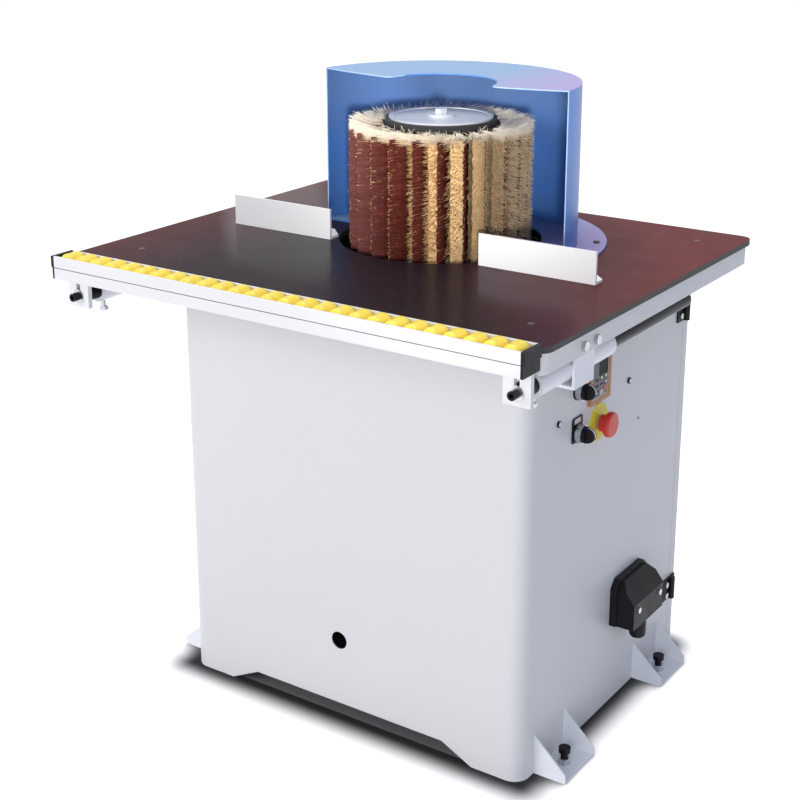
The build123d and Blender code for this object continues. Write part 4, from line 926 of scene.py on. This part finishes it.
# %% Switch rings and plates
WALL = 0.328
SELECTOR_Y, UPPER_Z, LOWER_Z = -0.045, 0.596, 0.528
STOP_Y, STOP_Z = 0.025, 0.523
SCREW_YS, SCREW_Z = (-0.103, 0.128), 0.560
switch_chrome = worn_metal("switch_chrome", srgb(188, 190, 194), 0.22, 260.0, (0.03, 1, 1))
plate_yellow = moulded("plate_yellow", srgb(250, 236, 64), 0.45, 900.0, 0.05)
collar_grey = moulded("collar_grey", srgb(176, 170, 120), 0.40, 900.0, 0.05)
dress(switch_chrome, "switch_bezels")
PLATE_REACH, PLATE_FRONT = 0.0305, WALL + 0.0016
LEGEND_HALF, LEGEND_BELOW, LEGEND_ABOVE, LEGEND_FRONT = 0.0165, 0.015, 0.027, WALL + 0.00155


def by_stop(middle):
    """Within the stop button's round plate."""
    return math.hypot(middle.y - STOP_Y, middle.z - STOP_Z) < PLATE_REACH


def on_legend(middle, way):
    """The flat plate behind the lower selector."""
    beside, above = abs(middle.y - SELECTOR_Y), middle.z - LOWER_Z
    return beside < LEGEND_HALF and middle.x < LEGEND_FRONT and -LEGEND_BELOW < above < LEGEND_ABOVE


yellow = dress_faces("switch_bezels", plate_yellow, lambda m, way: by_stop(m) and m.x < PLATE_FRONT)
grey = dress_faces("switch_bezels", collar_grey, lambda m, way: by_stop(m) and m.x > PLATE_FRONT)
black = dress_faces("switch_bezels", black_plastic, on_legend)
print("faces of the stop plate", yellow, "collar", grey, "legend plate", black)

# %% [markdown]
# Small flat details are made from one helper: a thin plate with rounded corners, lying on the wall at a
# given place. With corners as large as half its width it is a round disc, and the gaskets under the switch
# rings are made so.

# %% Thin plates on the wall
def wall_plate(name, y, z, wide, tall, start, thick, corner, material):
    """A rounded plate on the right wall, from a distance off the wall, in metres."""
    outline = []
    for quarter, (sy, sz) in enumerate(((1, 1), (-1, 1), (-1, -1), (1, -1))):
        for step in range(7):
            swing = math.radians(90 * quarter + 15 * step)
            outline.append((y + sy * (wide / 2 - corner) + corner * math.cos(swing),
                            z + sz * (tall / 2 - corner) + corner * math.sin(swing)))
    total = len(outline)
    points = [(WALL + start, *p) for p in outline] + [(WALL + start + thick, *p) for p in outline]
    faces = [tuple(reversed(range(total))), tuple(range(total, 2 * total))]
    faces += band(0, total, total)
    new_piece(name, points, faces, material, "base")


def wall_disc(name, y, z, across, start, thick, material):
    """A round plate: its corners are as large as half its width."""
    wall_plate(name, y, z, across, across, start, thick, across / 2, material)


print("plates lie on the wall at x =", WALL)

# %% Legend window, gaskets, screw caps and a painted hole
LEGEND_SHEET, WINDOW_RISE, SCREW_HEAD = 0.0015, 0.0195, 0.0030
window_z = LOWER_Z + WINDOW_RISE
legend_paper = moulded("legend_window", srgb(232, 212, 212), 0.3, 900.0, 0.02)
wall_plate("legend_window", SELECTOR_Y, window_z, 0.019, 0.008, LEGEND_SHEET, 0.0003, 0.001, legend_paper)
for name, z, start in (("upper_gasket", UPPER_Z, 0.0), ("lower_gasket", LOWER_Z, LEGEND_SHEET)):
    wall_disc(name, SELECTOR_Y, z, 0.031, start, 0.0025, black_plastic)
white_cap = moulded("white_cap", srgb(250, 250, 250), 0.4, 900.0, 0.02)
for name, y in (("front_screw_cap", SCREW_YS[0]), ("back_screw_cap", SCREW_YS[1])):
    wall_disc(name, y, SCREW_Z, 0.0074, SCREW_HEAD, 0.0004, white_cap)
# A small black disc where the wall has a small hole: painted shade for the hole.
wall_disc("wall_hole_shade", 0.1694, 0.4838, 0.0042, 0.0, 0.0005, black_steel)
print("legend window, gaskets, screw caps and hole_shade made")

# %% [markdown]
# The inverter's front is a printed film over soft keys, with a dark display. It could be one picture on a
# flat face, but a picture goes soft from close by. So each printed area is a thin plate of its own, a few
# tenths of a millimetre above the last, and keeps a clean edge at any distance.

# %% Keypad
KEYPAD_Y, KEYPAD_Z = 0.021, 0.606
keypad_brown = moulded("keypad_frame", srgb(190, 132, 78), 0.42)
keypad_film = moulded("keypad_film", srgb(136, 132, 133), 0.45, 900.0, 0.03, 0.0, 0.2)
keypad_line = moulded("keypad_line", srgb(240, 238, 232), 0.45, 900.0, 0.03)
display_glass = moulded("display_glass", srgb(20, 20, 24), 0.45, 900.0, 0.0, 0.0, 0.1)
key_dark = moulded("key_dark", srgb(66, 64, 67), 0.5, 900.0, 0.03, 0.0, 0.1)
key_red = moulded("key_red", srgb(206, 86, 84), 0.4, 900.0, 0.03)
key_pink = moulded("key_pink", srgb(226, 204, 200), 0.4, 900.0, 0.03)
dress(keypad_brown, "speed_inverter")


def keypad_plate(name, across, up, wide, tall, start, thick, corner, material):
    """A plate on the inverter's front, placed from the middle of the keypad."""
    wall_plate(name, KEYPAD_Y + across, KEYPAD_Z + up, wide, tall, start, thick, corner, material)


print("keypad finishes:", [m.name for m in bpy.data.materials if m.name.startswith("key")])

# %% Lay the keypad out
ON_FILM = 0.0040
WHITE_KEYS = (0.0165, -0.0095), (0.0023, -0.0095), (0.0163, -0.0190)
BAR_KEYS = (-0.0120, -0.0100), (0.0023, -0.0195), (-0.0120, -0.0200), (-0.0120, -0.0290)
keypad_plate("keypad_line", 0.0, 0.0, 0.0525, 0.0815, 0.0035, 0.0003, 0.001, keypad_line)
keypad_plate("keypad_film", 0.0, 0.0, 0.0480, 0.0770, 0.0037, 0.0004, 0.001, keypad_film)
keypad_plate("keypad_display", 0.0085, 0.0060, 0.029, 0.022, ON_FILM, 0.0005, 0.001, display_glass)
for number, (across, up) in enumerate(WHITE_KEYS):
    keypad_plate(f"key_rim_{number}", across, up, 0.0095, 0.0078, ON_FILM, 0.0004, 0.003, display_glass)
    keypad_plate(f"key_{number}", across, up, 0.0062, 0.0052, 0.0043, 0.0004, 0.0022, keypad_line)
for number, (across, up) in enumerate(BAR_KEYS):
    keypad_plate(f"key_bar_{number}", across, up, 0.0105, 0.0036, ON_FILM, 0.0004, 0.001, key_dark)
keypad_plate("key_stop", 0.0146, -0.0285, 0.0105, 0.0100, ON_FILM, 0.0007, 0.005, key_red)
keypad_plate("key_start", 0.0028, -0.0325, 0.0105, 0.0072, ON_FILM, 0.0007, 0.002, key_pink)
print("keys:", len(WHITE_KEYS), "white,", len(BAR_KEYS), "bars, one red and one pale")

# %% [markdown]
# Each selector knob has a white line along the ridge of its grip, from the top to the middle, which points
# at the chosen setting. It follows the same oval as the grip, a hair above it, and turns with the knob.

# %% Index lines
GRIP_OUT, GRIP_RISE, LINE_HALF, LINE_SHEET = 0.01403, 0.01203, 0.0017, 0.0003
LINE_STEPS = 12


def index_line(name, y, z, start, body):
    """A narrow white strip over the upper half of a knob's domed grip."""
    points, faces = [], []
    for step in range(LINE_STEPS + 1):
        swing = math.radians(8 + 88 * step / LINE_STEPS)
        for layer in (0.0, LINE_SHEET):
            x = WALL + start + (GRIP_OUT + layer) * math.sin(swing)
            up = z + (GRIP_RISE + layer) * math.cos(swing)
            points += [(x, y - LINE_HALF, up), (x, y + LINE_HALF, up)]
    for a in range(0, 4 * LINE_STEPS, 4):
        faces += [(a + 2, a + 3, a + 7, a + 6), (a, a + 4, a + 5, a + 1), (a, a + 2, a + 6, a + 4),
                  (a + 1, a + 5, a + 7, a + 3)]
    end = 4 * LINE_STEPS
    faces += [(0, 1, 3, 2), (end, end + 2, end + 3, end + 1)]
    new_piece(name, points, faces, keypad_line, body)


index_line("upper_index_line", SELECTOR_Y, UPPER_Z, 0.0163, "upper_selector")
index_line("lower_index_line", SELECTOR_Y, LOWER_Z, 0.0178, "lower_selector")
print("index lines on both knobs")

# %% [markdown]
# ## Small details in metal
#
# Some pieces came joined to their neighbours, and again the faces are chosen by place. The rods' socket
# screws sit on bright washers. The hinges' moving leaves are on the door, but black. The screws in the
# table and the hood are dull, and the two screws on the wall get black heads under a white cap: the dark
# ring left round each cap is painted shade.

# %% Washers, hinge leaves and screws
ROD_RADIUS, AXIS_ROOM = 0.0125, 0.0042
WASHER_FRONT, WASHER_BACK = 0.0119, 0.0141
TABLE_FACE, HEAD_REACH, LEAF_LIFT = 0.753, 0.008, 0.0003
rods_low, rods_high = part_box("support_rods")
rod_x = rods_high[0] - ROD_RADIUS
rod_z = (rods_low[2] + rods_high[2]) / 2


def on_washer(middle, way):
    """At the depth of the washer behind a socket screw's head, and away from the screw's axis."""
    behind = middle.y - rods_low[1]
    from_axis = math.hypot(abs(middle.x) - rod_x, middle.z - rod_z)
    return WASHER_FRONT < behind < WASHER_BACK and from_axis > AXIS_ROOM


dull_screw = worn_metal("dull_screw", srgb(96, 92, 94), 0.5, 90.0)
washers = dress_faces("support_rods", zinc, on_washer)
leaves = dress_faces("rear_door", black_plastic, lambda m, way: m.x > WALL + LEAF_LIFT)
dull = dress_faces("zinc_fasteners", dull_screw, lambda m, way: m.z > TABLE_FACE)
# Black heads under the white caps: the dark ring round each cap is painted shade.
heads = dress_faces("zinc_fasteners", black_plastic,
                    lambda m, way: m.x > WALL and abs(m.z - SCREW_Z) < HEAD_REACH)
print("washers", washers, "hinge leaves", leaves, "dull screws", dull, "wall screws", heads)
